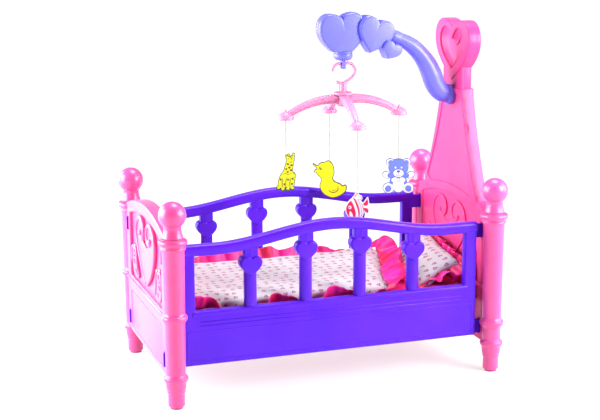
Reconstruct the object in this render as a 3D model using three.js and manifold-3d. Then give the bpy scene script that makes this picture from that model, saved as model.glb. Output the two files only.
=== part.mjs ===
// Toy doll crib: turned posts, two scroll panels, slatted side rails, bedding, and a
// motor-driven mobile on a curved arm. Millimetres, +Z up, +X toward the headboard,
// origin on the floor at the middle of the four feet.
import * as THREE from 'three';
import { mergeVertices } from 'three/addons/utils/BufferGeometryUtils.js';
import Module from 'manifold-3d';

const wasm = await Module();
wasm.setup();

// ---------- driving dimensions ----------
const GAP = 0.3;                    // clearance between pieces that touch
const POST_X = 230;                 // post centres, lengthwise
const POST_Y = 126.7;               // post centres, crosswise
const POST_TOP = 230.6;
const GLIDE_R = 8.5;
const GLIDE_H = 2;
const SHAFT_TOP_R = 15;
const SHAFT_LOW_R = 13;
const RING_TOP_Z = 225.4;
const RING_FOOT_Z = 124;            // middle ring on the footboard posts
const RING_HEAD_Z = 71.5;           // middle ring on the headboard posts
const RING_LOW_Z = 41.2;
const BALL_Z = 261;
const BALL_R = 18.3;

const BOARD_IN = 219.5;             // inner face of the end boards, from the middle
const BOARD_OUT = 240;              // outer face
const BOARD_BOTTOM = 41;
const ARCH_TOP = 250;
const ARCH_R = 357;
const ARCH_BAND = 17;
const RECESS = 3.6;                 // depth of the moulded panels
const STILE_Y = 97;                 // inner edge of the board stiles
const MID_LOW = 104;
const MID_TOP = 127;

const TOWER_TOP = 391;
const TOWER_HALF = 35;              // half width of the tower at its top
const NECK_HALF = 31;
const NECK_TOP = 418;
const CREST_W = 112.6;
const CREST_H = 87.4;
const CREST_TIP = 402;
const CREST_BOWL = 5;

const RAIL_OUT = 120;               // outer face of the side rails
const RAIL_IN = 104;
const RAIL_X0 = -217;
const RAIL_X1 = 208;
const RAIL_MID = -4.5;              // middle of the slat pattern
const RAIL_BOTTOM = 52;
const RAIL_END_TOP = 216.5;
const RAIL_HUMP = 21.3;
const RAIL_HUMP_HALF = 168;
const RAIL_BAR = 15.4;
const SILL_Z = 126;
const WINDOW_HALF = 195;
const SLAT_STEP = 78.3;
const SLAT_W = 17;
const SLAT_HEART_W = 31;
const SLAT_HEART_H = 27;
const SLAT_HEART_DROP = 15;         // from the bar's underside to the heart's lobes
const TAB_IN = 104.5;
const TAB_OUT = 110;
const TAB_H = 20;
const TAB_PROUD = 2.2;              // how far the foot tabs stand out past the footboard
const TAB_ZS = [52, 192];

const DECK_Z = 96;
const DECK_T = 4;
const PAD_T = 18;
const QUILT_T = 17;
const QUILT_X0 = -211;
const QUILT_X1_RIGHT = 92;          // the quilt's head edge runs askew across the bed
const QUILT_X1_LEFT = 150;

const SPIN_X = 51.7;                // spindle axis
const HEART_Z = 437;                // tip of the large housing before it is cut
const HEART_CUT = 449.7;
const HEART_W = 69;
const HEART_H = 66;
const HEART_FRONT = -11;
const HEART_BACK = 12;
const WALL = 2.2;
const COLLAR_R = 13.4;
const COLLAR_LOW = 437;
const GEAR_TEETH = 24;
const PINION_TEETH = 6;
const MODULE = 0.65;
const GEAR_Z = 456;
const GEAR_T = 3.5;
const PINION_X = SPIN_X + MODULE * (GEAR_TEETH + PINION_TEETH) / 2 + 0.55;
const CELL_R = 5.1;
const CELL_L = 44;
const CELL_ZS = [474.6, 485.2];
const CELL_Y = 4.2;

const HUB_FLANGE_R = 12.8;
const HUB_R = 9;
const HUB_LOW = 372;
const HUB_FLANGE_Z = 390;
const STEM_R = 5;
const STEM_TOP = 407;
const WIRE_R = 2;                 // heart hook
const ARM_TURN = 173.4;             // bearing of the first mobile arm, degrees
const ARM_REACH = 82.8;
const CAP_R = 12.2;
const CAP_LOW = 353.5;
const CAP_H = 10.6;
const STRING_D = 0.9;
const FIGURE_T = 2.6;

// ---------- materials ----------
const paint = (color, roughness = 0.3) => new THREE.MeshStandardMaterial({ color, roughness, metalness: 0 });
const metal = (color, roughness = 0.3) => new THREE.MeshStandardMaterial({ color, roughness, metalness: 1 });
const PINK = 0xf77cc0;
const PALE_PINK = 0xfbc3df;
const PURPLE = 0x6a35e8;
const PERIWINKLE = 0x8a84f2;

// ---------- solids ----------
function toSolid(geometry) {
  const plain = geometry.clone();
  plain.deleteAttribute('normal');
  plain.deleteAttribute('uv');
  const merged = mergeVertices(plain, 1e-4);
  const at = merged.attributes.position;
  const kept = [];
  let volume = 0;
  const [a, b, c] = [new THREE.Vector3(), new THREE.Vector3(), new THREE.Vector3()];
  for (let i = 0; i < merged.index.count; i += 3) {
    const tri = [0, 1, 2].map((k) => merged.index.getX(i + k));
    if (new Set(tri).size < 3) continue;
    kept.push(tri);
    a.fromBufferAttribute(at, tri[0]);
    b.fromBufferAttribute(at, tri[1]);
    c.fromBufferAttribute(at, tri[2]);
    volume += a.dot(b.cross(c)) / 6;
  }
  const order = volume < 0 ? [0, 2, 1] : [0, 1, 2];
  const triVerts = new Uint32Array(kept.flatMap((tri) => order.map((k) => tri[k])));
  const vertProperties = new Float32Array(at.array);
  return new wasm.Manifold(new wasm.Mesh({ numProp: 3, vertProperties, triVerts }));
}

function toGeometry(solid) {
  const mesh = solid.getMesh();
  const geometry = new THREE.BufferGeometry();
  geometry.setAttribute('position', new THREE.BufferAttribute(new Float32Array(mesh.vertProperties), 3));
  geometry.setIndex(new THREE.BufferAttribute(new Uint32Array(mesh.triVerts), 1));
  geometry.computeVertexNormals();
  return geometry;
}

const join = (...solids) => solids.reduce((sum, next) => sum.add(next));
const cut = (solid, ...tools) => tools.reduce((sum, next) => sum.subtract(next), solid);

// A shape drawn as (x, z) and extruded from y0 to y1.
function prismY(shape, y0, y1, curveSegments = 6) {
  const geometry = new THREE.ExtrudeGeometry(shape, { depth: y1 - y0, bevelEnabled: false, curveSegments });
  geometry.rotateX(Math.PI / 2);
  geometry.translate(0, y1, 0);
  return toSolid(geometry);
}

// A shape drawn as (y, z) and extruded from x0 to x1.
function prismX(shape, x0, x1, curveSegments = 6) {
  const geometry = new THREE.ExtrudeGeometry(shape, { depth: x1 - x0, bevelEnabled: false, curveSegments });
  geometry.applyMatrix4(new THREE.Matrix4().set(0, 0, 1, x0, 1, 0, 0, 0, 0, 1, 0, 0, 0, 0, 0, 1));
  return toSolid(geometry);
}

// A shape drawn as (x, y) and extruded from z0 to z1.
function prismZ(shape, z0, z1, curveSegments = 6) {
  const geometry = new THREE.ExtrudeGeometry(shape, { depth: z1 - z0, bevelEnabled: false, curveSegments });
  geometry.translate(0, 0, z0);
  return toSolid(geometry);
}

function block(x0, x1, y0, y1, z0, z1) {
  const geometry = new THREE.BoxGeometry(x1 - x0, y1 - y0, z1 - z0);
  geometry.translate((x0 + x1) / 2, (y0 + y1) / 2, (z0 + z1) / 2);
  return toSolid(geometry);
}

// A solid of revolution about Z from [radius, z] pairs, bottom to top.
function turned(profile, segments = 16) {
  const points = profile.map(([r, z]) => new THREE.Vector2(r, z));
  const geometry = new THREE.LatheGeometry(points, segments);
  geometry.rotateX(Math.PI / 2);
  return toSolid(geometry);
}

function rod(radius, z0, z1, segments = 16) {
  return turned([[0, z0], [radius, z0], [radius, z1], [0, z1]], segments);
}

// A round bar along a curve in a vertical plane whose normal is side; radiusAt runs 0 to 1.
function bar(curve, side, radiusAt, steps, sides) {
  const positions = [];
  const index = [];
  for (let i = 0; i <= steps; i += 1) {
    const u = i / steps;
    const centre = curve.getPointAt(u);
    const across = new THREE.Vector3().crossVectors(curve.getTangentAt(u), side);
    for (let k = 0; k < sides; k += 1) {
      const angle = (2 * Math.PI * k) / sides;
      const point = centre.clone();
      point.addScaledVector(across, radiusAt(u) * Math.cos(angle));
      point.addScaledVector(side, radiusAt(u) * Math.sin(angle));
      positions.push(point.x, point.y, point.z);
      if (i === steps) continue;
      const [a, b] = [i * sides + k, i * sides + ((k + 1) % sides)];
      index.push(a, a + sides, b, b, a + sides, b + sides);
    }
  }
  const last = steps * sides;
  for (let k = 1; k < sides - 1; k += 1) {
    index.push(0, k, k + 1);
    index.push(last, last + k + 1, last + k);
  }
  const geometry = new THREE.BufferGeometry();
  geometry.setAttribute('position', new THREE.Float32BufferAttribute(positions, 3));
  geometry.setIndex(index);
  return toSolid(geometry);
}

// ---------- outlines ----------
function rectangle(x0, x1, y0, y1, r = 0) {
  const shape = new THREE.Shape();
  if (r === 0) {
    shape.moveTo(x0, y0);
    shape.lineTo(x1, y0);
    shape.lineTo(x1, y1);
    shape.lineTo(x0, y1);
    return shape;
  }
  shape.absarc(x1 - r, y0 + r, r, -Math.PI / 2, 0);
  shape.absarc(x1 - r, y1 - r, r, 0, Math.PI / 2);
  shape.absarc(x0 + r, y1 - r, r, Math.PI / 2, Math.PI);
  shape.absarc(x0 + r, y0 + r, r, Math.PI, 1.5 * Math.PI);
  return shape;
}

// A heart with its tip at (x, y), grown outward all round by grow and turned clockwise by tilt degrees.
function heart(w, h, x = 0, y = 0, grow = 0, tilt = 0) {
  const [hw, full] = [w / 2 + grow, h + 2.2 * grow];
  const drop = 1.2 * grow;
  const turn = -THREE.MathUtils.degToRad(tilt);
  const at = (u, v) => {
    const [px, py] = [u * hw * 2, v * full - drop];
    return [x + px * Math.cos(turn) - py * Math.sin(turn), y + px * Math.sin(turn) + py * Math.cos(turn)];
  };
  const shape = new THREE.Shape();
  shape.moveTo(...at(0, 0));
  shape.bezierCurveTo(...at(0.24, 0.2), ...at(0.5, 0.4), ...at(0.5, 0.68));
  shape.bezierCurveTo(...at(0.5, 0.88), ...at(0.38, 1), ...at(0.26, 1));
  shape.bezierCurveTo(...at(0.13, 1), ...at(0.03, 0.96), ...at(0, 0.88));
  shape.bezierCurveTo(...at(-0.03, 0.96), ...at(-0.13, 1), ...at(-0.26, 1));
  shape.bezierCurveTo(...at(-0.38, 1), ...at(-0.5, 0.88), ...at(-0.5, 0.68));
  shape.bezierCurveTo(...at(-0.5, 0.4), ...at(-0.24, 0.2), ...at(0, 0));
  return shape;
}

const archAt = (y, top = ARCH_TOP) => top - ARCH_R + Math.sqrt(ARCH_R ** 2 - y ** 2);

// The outline of a board from z0 up to an arch, between -half and half.
function archOutline(half, z0, top, steps = 14) {
  const shape = new THREE.Shape();
  shape.moveTo(-half, z0);
  shape.lineTo(half, z0);
  for (let i = 0; i <= steps; i += 1) {
    const y = half - (2 * half * i) / steps;
    shape.lineTo(y, archAt(y, top));
  }
  return shape;
}

// ---------- posts ----------
function postProfile(ringZ, grow = 0) {
  const low = SHAFT_LOW_R + grow;
  const top = SHAFT_TOP_R + grow;
  const shaft = (z) => low + ((top - low) * (z - 46)) / (RING_TOP_Z - 46);
  return [
    [0, GLIDE_H + GAP - grow],
    [10.2 + grow, GLIDE_H + GAP - grow],
    [11.3 + grow, GLIDE_H + 2.5],
    [11.3 + grow, 21.5],
    [12.3 + grow, 22.5],
    [12.6 + grow, 27],
    [14 + grow, 36.5],
    [16.2 + grow, RING_LOW_Z - 2.5],
    [16.2 + grow, RING_LOW_Z + 2.5],
    [shaft(46), RING_LOW_Z + 5],
    [shaft(ringZ - 5), ringZ - 5],
    [17 + grow, ringZ - 2.6],
    [17 + grow, ringZ + 2.6],
    [shaft(ringZ + 5), ringZ + 5],
    [shaft(RING_TOP_Z - 6), RING_TOP_Z - 6],
    [19.3 + grow, RING_TOP_Z - 2.4],
    [19.3 + grow, RING_TOP_Z + 2.4],
    [14.5 + grow, POST_TOP + grow],
    [0, POST_TOP + grow],
  ];
}

function finial() {
  const start = Math.asin(12 / BALL_R);
  const profile = [[0, POST_TOP + GAP], [14, POST_TOP + GAP], [12, BALL_Z - 18]];
  for (let i = 0; i <= 7; i += 1) {
    const angle = start + ((Math.PI - start) * i) / 7;
    profile.push([i === 7 ? 0 : BALL_R * Math.sin(angle), BALL_Z - BALL_R * Math.cos(angle)]);
  }
  return turned(profile, 16);
}

const corners = [
  { name: 'foot_right', x: -POST_X, y: -POST_Y, ringZ: RING_FOOT_Z },
  { name: 'foot_left', x: -POST_X, y: POST_Y, ringZ: RING_FOOT_Z },
  { name: 'head_right', x: POST_X, y: -POST_Y, ringZ: RING_HEAD_Z },
  { name: 'head_left', x: POST_X, y: POST_Y, ringZ: RING_HEAD_Z },
];
const postClearance = corners.map(({ x, y, ringZ }) => {
  const shaft = rod(SHAFT_TOP_R + 0.5, -1, BALL_Z, 16);
  const collars = [[16.6, RING_LOW_Z], [17.4, ringZ], [19.7, RING_TOP_Z]];
  const rings = collars.map(([r, z]) => turned([
    [0, z - 6.5], [r - 3, z - 6.5], [r, z - 2.9], [r, z + 2.9], [r - 3, z + 6.5], [0, z + 6.5],
  ]));
  return join(shaft, ...rings).translate([x, y, 0]);
});

// ---------- end boards ----------
// The raised scroll heart and its two side leaves, standing in the upper panel.
function scrollRelief(x0, x1) {
  const ring = heart(112, 100, 0, 133);
  ring.holes.push(heart(84, 70, 0, 150));
  const curl = rectangle(-5, 5, 196, 226, 4.9);
  const leaf = (side) => {
    const shape = new THREE.Shape();
    shape.moveTo(side * 92, 132);
    shape.bezierCurveTo(side * 60, 140, side * 50, 160, side * 62, 186);
    shape.bezierCurveTo(side * 70, 196, side * 88, 196, side * 90, 180);
    shape.bezierCurveTo(side * 84, 170, side * 84, 150, side * 92, 132);
    return cut(prismX(shape, x0, x1), prismX(heart(112, 100, 0, 133), x0 - 1, x1 + 1));
  };
  return join(prismX(ring, x0, x1), prismX(curl, x0, x1), leaf(-1), leaf(1));
}

// One end board between its posts, with moulded panels on both faces; dir is -1 for the foot.
function board(dir) {
  const [x0, x1] = dir > 0 ? [BOARD_IN, BOARD_OUT] : [-BOARD_OUT, -BOARD_IN];
  const slab = prismX(archOutline(POST_Y, BOARD_BOTTOM, ARCH_TOP), x0, x1);
  const upper = archOutline(STILE_Y, MID_TOP, ARCH_TOP - ARCH_BAND);
  const lower = rectangle(-STILE_Y, STILE_Y, BOARD_BOTTOM + 6, MID_LOW, 3);
  const faces = [[x0 - 1, x0 + RECESS], [x1 - RECESS, x1 + 1]];
  const pockets = faces.flatMap(([a, b]) => [prismX(upper, a, b), prismX(lower, a, b)]);
  const slots = TAB_ZS.flatMap((z) => [-1, 1].map((side) => {
    const [ya, yb] = side > 0 ? [TAB_IN, TAB_OUT] : [-TAB_OUT, -TAB_IN];
    return block(x0 - 1, x1 + 1, ya - GAP, yb + GAP, z - GAP, z + TAB_H + GAP);
  }));
  const panel = cut(slab, ...pockets);
  const reliefs = join(scrollRelief(x0 + 0.6, x0 + RECESS + 0.5), scrollRelief(x1 - RECESS - 0.5, x1 - 0.6));
  return cut(join(panel, reliefs), ...slots, ...postClearance);
}

// Half width of the tower at its flank, a slow outward sweep from top to arch.
function towerOutline(half, top, foot, inset = 0) {
  const shape = new THREE.Shape();
  shape.moveTo(-foot, archAt(foot) - 8 + inset);
  shape.lineTo(foot, archAt(foot) - 8 + inset);
  shape.quadraticCurveTo(half + 12 - inset, 325, half, top);
  shape.lineTo(-half, top);
  shape.quadraticCurveTo(-half - 12 + inset, 325, -foot, archAt(foot) - 8 + inset);
  return shape;
}

const crestSolid = (grow = 0) => prismX(
  heart(CREST_W, CREST_H, 0, CREST_TIP, grow),
  BOARD_IN - 1 - grow,
  BOARD_OUT - 1.2 + grow,
);

function headboard() {
  const tower = prismX(towerOutline(TOWER_HALF, TOWER_TOP, 92), BOARD_IN - 0.8, BOARD_OUT - 1.5);
  const panel = towerOutline(TOWER_HALF - 10, TOWER_TOP - 8, 76, 18);
  const pocket = prismX(panel, BOARD_IN - 2, BOARD_IN + 0.8);
  const neck = prismX(rectangle(-NECK_HALF, NECK_HALF, TOWER_TOP - 2, NECK_TOP), BOARD_IN + 2, BOARD_OUT - 4);
  const socket = toSolid(new THREE.CylinderGeometry(9.3, 9.3, 12, 16).rotateZ(Math.PI / 2)
    .translate(BOARD_IN + 2, 0, 381));
  return cut(join(board(1), tower, neck), pocket, crestSolid(GAP), socket);
}

function crest() {
  const bowl = prismX(heart(CREST_W - 34, CREST_H - 30, 0, CREST_TIP + 20), BOARD_IN - 3, BOARD_IN - 1 + CREST_BOWL);
  return cut(crestSolid(), bowl);
}

// ---------- side rails ----------
const railTop = (x) => {
  const u = Math.abs(x - RAIL_MID) / RAIL_HUMP_HALF;
  return RAIL_END_TOP + (u < 1 ? RAIL_HUMP * Math.cos((Math.PI * u) / 2) ** 2 : 0);
};
const slatXs = [-1.5, -0.5, 0.5, 1.5].map((k) => RAIL_MID + k * SLAT_STEP);

// A closed outline through the points, leaving out those on a straight run.
function outline(points) {
  const bends = points.filter(([x, z], i) => {
    const [px, pz] = points[(i + points.length - 1) % points.length];
    const [nx, nz] = points[(i + 1) % points.length];
    return Math.abs((x - px) * (nz - z) - (z - pz) * (nx - x)) > 1e-3;
  });
  return polygon(...bends);
}

function railBand(x0, x1, lowAt, highAt, steps) {
  const xs = Array.from({ length: steps + 1 }, (_, i) => x0 + ((x1 - x0) * i) / steps);
  const under = xs.map((x) => [x, lowAt(x)]);
  const over = xs.map((x) => [x, highAt(x)]).reverse();
  return outline([...under, ...over]);
}

// The right-hand rail; the left one is its mirror image.
function rail() {
  const sheet = railBand(RAIL_X0, RAIL_X1, () => RAIL_BOTTOM, (x) => railTop(x) - 2, 20);
  const edges = [RAIL_MID - WINDOW_HALF, ...slatXs.flatMap((x) => [x - SLAT_W / 2, x + SLAT_W / 2]),
    RAIL_MID + WINDOW_HALF];
  const windows = [0, 2, 4, 6, 8].map((i) => prismY(
    railBand(edges[i], edges[i + 1], () => SILL_Z, (x) => railTop(x) - RAIL_BAR, 5),
    -RAIL_OUT - 5,
    -RAIL_IN + 5,
  ));
  const web = cut(prismY(sheet, -RAIL_OUT + 1, -RAIL_IN - 3), ...windows);
  const bar0 = railBand(RAIL_X0, RAIL_X1, (x) => railTop(x) - RAIL_BAR, railTop, 20);
  const sill = rectangle(RAIL_X0, RAIL_X1, SILL_Z - 12, SILL_Z);
  const hearts = slatXs.map((x) => {
    const tip = railTop(x) - RAIL_BAR - SLAT_HEART_DROP - SLAT_HEART_H + 5;
    return prismY(heart(SLAT_HEART_W, SLAT_HEART_H, x, tip), -RAIL_OUT - 0.8, -RAIL_IN - 1, 3);
  });
  const tabs = TAB_ZS.map((z) => block(-BOARD_OUT - TAB_PROUD, BOARD_OUT - 0.5, -TAB_OUT, -TAB_IN, z, z + TAB_H));
  const between = block(RAIL_X0 + 2, RAIL_X1 - 2, -TAB_OUT - 1, -TAB_IN + 1, RAIL_BOTTOM - 1, RAIL_END_TOP);
  const ends = cut(join(...tabs), between);
  const body = join(web, prismY(bar0, -RAIL_OUT, -RAIL_IN), prismY(sill, -RAIL_OUT, -RAIL_IN - 2), ...hearts, ends);
  return cut(body, ...postClearance);
}

// ---------- bedding ----------
function deck() {
  const half = RAIL_IN - 1;
  const tray = block(-BOARD_IN + 1, BOARD_IN - 2, -half, half, DECK_Z, DECK_Z + DECK_T);
  const ribs = [-150, -50, 50, 150].map((x) => block(x - 2, x + 2, -half + 4, half - 4, DECK_Z - 12, DECK_Z + 1));
  return join(tray, ...ribs);
}

const pad = (x0, x1, half, z0, z1, r) => prismZ(rectangle(x0, x1, -half, half, r), z0, z1, 4);

const padLow = DECK_Z + DECK_T + GAP;
const padTop = padLow + PAD_T;

function quilt() {
  const low = padTop + GAP;
  const sheet = pad(QUILT_X0, QUILT_X1_LEFT, 100, low, low + QUILT_T, 14);
  const corner = outline([[QUILT_X1_RIGHT, -102], [220, -102], [220, 98], [QUILT_X1_LEFT, 98]]);
  return cut(sheet, prismZ(corner, low - 1, low + QUILT_T + 1));
}

function pillow() {
  const geometry = new THREE.SphereGeometry(1, 16, 8);
  geometry.scale(34, 84, 14);
  geometry.rotateY(-0.3);
  geometry.translate(176, 0, padTop + 20.5);
  return cut(toSolid(geometry), block(0, 400, -200, 200, 0, padTop + GAP), block(BOARD_IN - 3, 400, -200, 200, 0, 300));
}

// ---------- arm and housings ----------
const armPath = new THREE.CatmullRomCurve3([
  [116, 471], [128, 467.5], [142, 461.6], [156, 453.5], [169, 441.5], [180, 427], [188, 411],
  [194.5, 396], [204, 385.5], [BOARD_IN - 1.2, 381],
].map(([x, z]) => new THREE.Vector3(x, 0, z)));
const armRadii = [7.6, 8.2, 9.6, 11, 12.2, 13.8, 15, 14.8, 14.2, 14];

function armRadius(u) {
  const at = u * (armRadii.length - 1);
  const i = Math.min(Math.floor(at), armRadii.length - 2);
  return armRadii[i] + (armRadii[i + 1] - armRadii[i]) * (at - i);
}

function arm(grow = 0) {
  const side = new THREE.Vector3(0, 1, 0);
  const shell = bar(armPath, side, (u) => armRadius(u) + grow, 15, 14);
  const plug = toSolid(new THREE.CylinderGeometry(9, 9, 12, 16).rotateZ(Math.PI / 2)
    .translate(BOARD_IN + 1.6, 0, 381));
  const face = block(BOARD_IN - 0.8 - GAP, 300, -40, 40, 340, 420);
  return join(cut(shell, face), plug);
}

const bigHeart = (grow = 0) => heart(HEART_W, HEART_H, SPIN_X - 1.5, HEART_Z, grow, -3);
const midHeart = (grow = 0) => heart(54, 50, 87, 446.8, grow, 18);
const smallHeart = (grow = 0) => heart(29, 25, 112, 438, grow, 28);
const underCut = block(-50, 150, -60, 60, 400, HEART_CUT);

function heartFront() {
  const shell = prismY(bigHeart(), HEART_FRONT, -1 - GAP / 2);
  const hollow = prismY(bigHeart(-WALL), HEART_FRONT + WALL, 2);
  const throat = rod(4, HEART_CUT - 5, HEART_CUT + 8).translate([SPIN_X, 0, 0]);
  return cut(shell, hollow, underCut, throat);
}

function heartBack() {
  const shell = prismY(bigHeart(), -1 + GAP / 2, HEART_BACK);
  const hollow = prismY(bigHeart(-WALL), -3, HEART_BACK - WALL);
  const throat = rod(4, HEART_CUT - 5, HEART_CUT + 8).translate([SPIN_X, 0, 0]);
  const hatch = prismY(rectangle(26.5, 74.5, 467.5, 491, 2), HEART_BACK - WALL - 1, HEART_BACK + 1);
  const slot = block(38.5 - GAP, 45.5 + GAP, HEART_BACK - WALL - 1, HEART_BACK + 1, 461.5, 465.5);
  return cut(shell, hollow, underCut, throat, hatch, slot);
}

function batteryDoor() {
  return prismY(rectangle(26.5 + GAP, 74.5 - GAP, 467.5 + GAP, 491 - GAP, 1.8), HEART_BACK - WALL + 0.2, HEART_BACK);
}

function midHousing() {
  const behind = prismY(bigHeart(GAP), HEART_FRONT - GAP, 40);
  return cut(prismY(midHeart(), -17, 9.5), behind, arm(GAP));
}

function smallHousing() {
  const behind = prismY(midHeart(GAP), -17 - GAP, 40);
  return cut(prismY(smallHeart(), -22, 6), behind, arm(GAP), prismY(bigHeart(GAP), -30, 40));
}

function collar() {
  const profile = [[0, COLLAR_LOW], [8, COLLAR_LOW], [11.6, COLLAR_LOW + 1.6], [COLLAR_R, COLLAR_LOW + 5],
    [COLLAR_R, HEART_CUT - GAP], [0, HEART_CUT - GAP]];
  return cut(turned(profile, 20), rod(3.4, COLLAR_LOW - 5, HEART_CUT + 5)).translate([SPIN_X, 0, 0]);
}

// ---------- drive ----------
function gear(teeth, z0, z1, bore, phase) {
  const pitch = (MODULE * teeth) / 2;
  const [root, tip] = [pitch - 0.85, pitch + 0.55];
  const step = (2 * Math.PI) / teeth;
  const shape = new THREE.Shape();
  const corner = (r, angle) => [r * Math.cos(angle), r * Math.sin(angle)];
  for (let i = 0; i < teeth; i += 1) {
    const middle = i * step + phase * step;
    const points = [[root, -0.3], [tip, -0.1], [tip, 0.1], [root, 0.3]];
    points.forEach(([r, part], k) => {
      const [x, y] = corner(r, middle + part * step);
      if (i === 0 && k === 0) shape.moveTo(x, y);
      else shape.lineTo(x, y);
    });
  }
  const wheel = prismZ(shape, z0, z1);
  return bore > 0 ? cut(wheel, rod(bore, z0 - 1, z1 + 1, 12)) : wheel;
}

function spindle() {
  const shaft = rod(2.5, 434, GEAR_Z + GEAR_T + 4, 14);
  const eye = cut(block(-2.4, 2.4, -4.8, 4.8, 424.8, 436), block(-4, 4, -2.6, 2.6, 426.5, 433.6));
  return join(shaft, eye).translate([SPIN_X, 0, 0]);
}

const motorLow = GEAR_Z + GEAR_T + 1.2;
function motor() {
  return rod(5.6, motorLow, motorLow + 8, 16).translate([PINION_X, 0.2, 0]);
}

function pinion() {
  const wheel = gear(PINION_TEETH, GEAR_Z - 0.4, motorLow - GAP, 0, 0.5);
  return wheel.translate([PINION_X, 0, 0]);
}

function cell(z) {
  const can = toSolid(new THREE.CylinderGeometry(CELL_R, CELL_R, CELL_L - 1, 14).rotateZ(Math.PI / 2));
  const nub = toSolid(new THREE.CylinderGeometry(1.8, 1.8, 2, 10).rotateZ(Math.PI / 2).translate(CELL_L / 2, 0, 0));
  return join(can, nub).translate([50.5, CELL_Y, z]);
}

function switchKnob() {
  return join(
    block(38.5, 42.5, HEART_BACK - WALL - 1, HEART_BACK + 1.6, 461.5 + GAP, 465.5 - GAP),
    block(34.5, 46.5, HEART_BACK - WALL - 1.9, HEART_BACK - WALL - 0.5, 460.5, 466.5),
  );
}

function screw(x, z) {
  const head = toSolid(new THREE.CylinderGeometry(2.6, 2.6, 1.2, 12).translate(0, 0.9, 0));
  const drive = block(-1.8, 1.8, 0.9, 2, -0.4, 0.4);
  return cut(head, drive).translate([x, HEART_BACK, z]);
}

// ---------- mobile ----------
// The open heart that hangs in the spindle's eye, ending on the stem.
function hook(grow = 0) {
  const path = new THREE.CatmullRomCurve3([
    [-16, 422.5], [-12, 429.5], [-6, 432.3], [0, 429], [6, 432.6], [13.5, 430.8], [18.5, 423], [15.5, 414.5],
    [8, 408.5], [0.8, 403],
  ].map(([x, z]) => new THREE.Vector3(x, 0, z)));
  const wire = bar(path, new THREE.Vector3(0, 1, 0), () => WIRE_R + grow, 22, 8);
  const tab = bar(
    new THREE.LineCurve3(new THREE.Vector3(-9.5, 0, 406.5), new THREE.Vector3(-1, 0, 402.5)),
    new THREE.Vector3(0, 1, 0), () => WIRE_R + 0.3 + grow, 1, 8,
  );
  return join(wire, tab, rod(3.4 + grow, 399 - grow, 405, 12)).translate([SPIN_X, 0, 0]);
}

function hub() {
  const profile = [
    [0, HUB_LOW], [HUB_R - 2, HUB_LOW], [HUB_R, HUB_LOW + 2], [HUB_R, HUB_FLANGE_Z - 2], [HUB_FLANGE_R, HUB_FLANGE_Z - 1],
    [HUB_FLANGE_R, HUB_FLANGE_Z + 1.4], [STEM_R + 0.6, HUB_FLANGE_Z + 2.4], [STEM_R, STEM_TOP - 2],
    [STEM_R - 1, STEM_TOP - 1], [0, STEM_TOP - 1],
  ];
  return cut(turned(profile, 20).translate([SPIN_X, 0, 0]), hook(GAP));
}

const armAngles = [0, 1, 2, 3].map((k) => THREE.MathUtils.degToRad(ARM_TURN + 90 * k));

// One arching arm along +X; its group turns it to its bearing.
function mobileArm(lift) {
  const curve = new THREE.QuadraticBezierCurve3(
    new THREE.Vector3(HUB_R + GAP, 0, 383.5),
    new THREE.Vector3(44, 0, 382.5 + lift / 2),
    new THREE.Vector3(ARM_REACH - CAP_R + 0.6, 0, 361.5 + lift),
  );
  const shaft = bar(curve, new THREE.Vector3(0, 1, 0), (u) => 6.7 - 1.9 * u, 6, 12);
  const flange = rod(HUB_FLANGE_R + GAP, HUB_FLANGE_Z - 2 - GAP, 400, 20);
  return cut(shaft, capSolid(GAP).translate([ARM_REACH, 0, lift]), rod(HUB_R + GAP, 360, 400, 20), flange);
}

function capSolid(grow = 0) {
  const profile = [[0, CAP_LOW - grow], [CAP_R - 0.8 + grow, CAP_LOW - grow]];
  for (let i = 0; i <= 4; i += 1) {
    const angle = (i / 4) * 1.25;
    profile.push([(CAP_R + grow) * Math.cos(angle), CAP_LOW + 1.2 + (CAP_H - 1.2 + grow) * Math.sin(angle)]);
  }
  profile.push([1.7 + grow, CAP_LOW + CAP_H + grow], [1.5 + grow, CAP_LOW + CAP_H + 3.6 + grow]);
  profile.push([0, CAP_LOW + CAP_H + 3.6 + grow]);
  return turned(profile, 16);
}

// ---------- hanging figures, drawn as (x, z) from the string's lower end ----------
function disc(x, z, rx, rz = rx, turn = 0) {
  const shape = new THREE.Shape();
  shape.absellipse(x, z, rx, rz, 0, 2 * Math.PI, false, THREE.MathUtils.degToRad(turn));
  return shape;
}

function polygon(...points) {
  const shape = new THREE.Shape();
  points.forEach(([x, z], i) => (i === 0 ? shape.moveTo(x, z) : shape.lineTo(x, z)));
  return shape;
}

const plate = (...shapes) => join(...shapes.map((shape) => prismY(shape, -FIGURE_T / 2, FIGURE_T / 2, 7)));

const duck = () => plate(
  disc(-5, -13, 12.4, 13),
  disc(4, -37, 20.5, 17.5),
  polygon([-15, -4], [-26, -7.5], [-20, -13], [-24.5, -19], [-13, -20]),
  polygon([10, -24], [25, -25.5], [25.6, -36], [12, -42]),
  disc(-0.5, -3.2, 4, 3.2, 40),
);

const bear = () => plate(
  disc(0, -12, 14.5, 12),
  disc(-11.5, -5.2, 5.4),
  disc(11.5, -5.2, 5.4),
  disc(0, -32, 12, 15.5),
  disc(-14, -21, 7.4, 4.6, -30),
  disc(14, -21, 7.4, 4.6, 30),
  disc(-13, -42, 8.4, 7.4),
  disc(13, -42, 8.4, 7.4),
);

const giraffe = () => plate(
  polygon([-1.5, 0], [4, -0.5], [8.5, -1], [12, -6], [9.6, -24], [-3.6, -24], [0.6, -9], [-1.5, -5]),
  disc(10, -1.6, 2.4),
  disc(1.5, -34, 11, 13),
  disc(10.5, -30, 3.4),
  polygon([-9.5, -34], [-12.5, -49], [-3.5, -51.5], [4, -50.5], [11, -49], [12.5, -36]),
  disc(-11, -48.6, 3.4),
  disc(-4.6, -50.6, 3.4),
  disc(2.4, -50.2, 3.2),
  disc(8.8, -49.2, 3.2),
);

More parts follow.
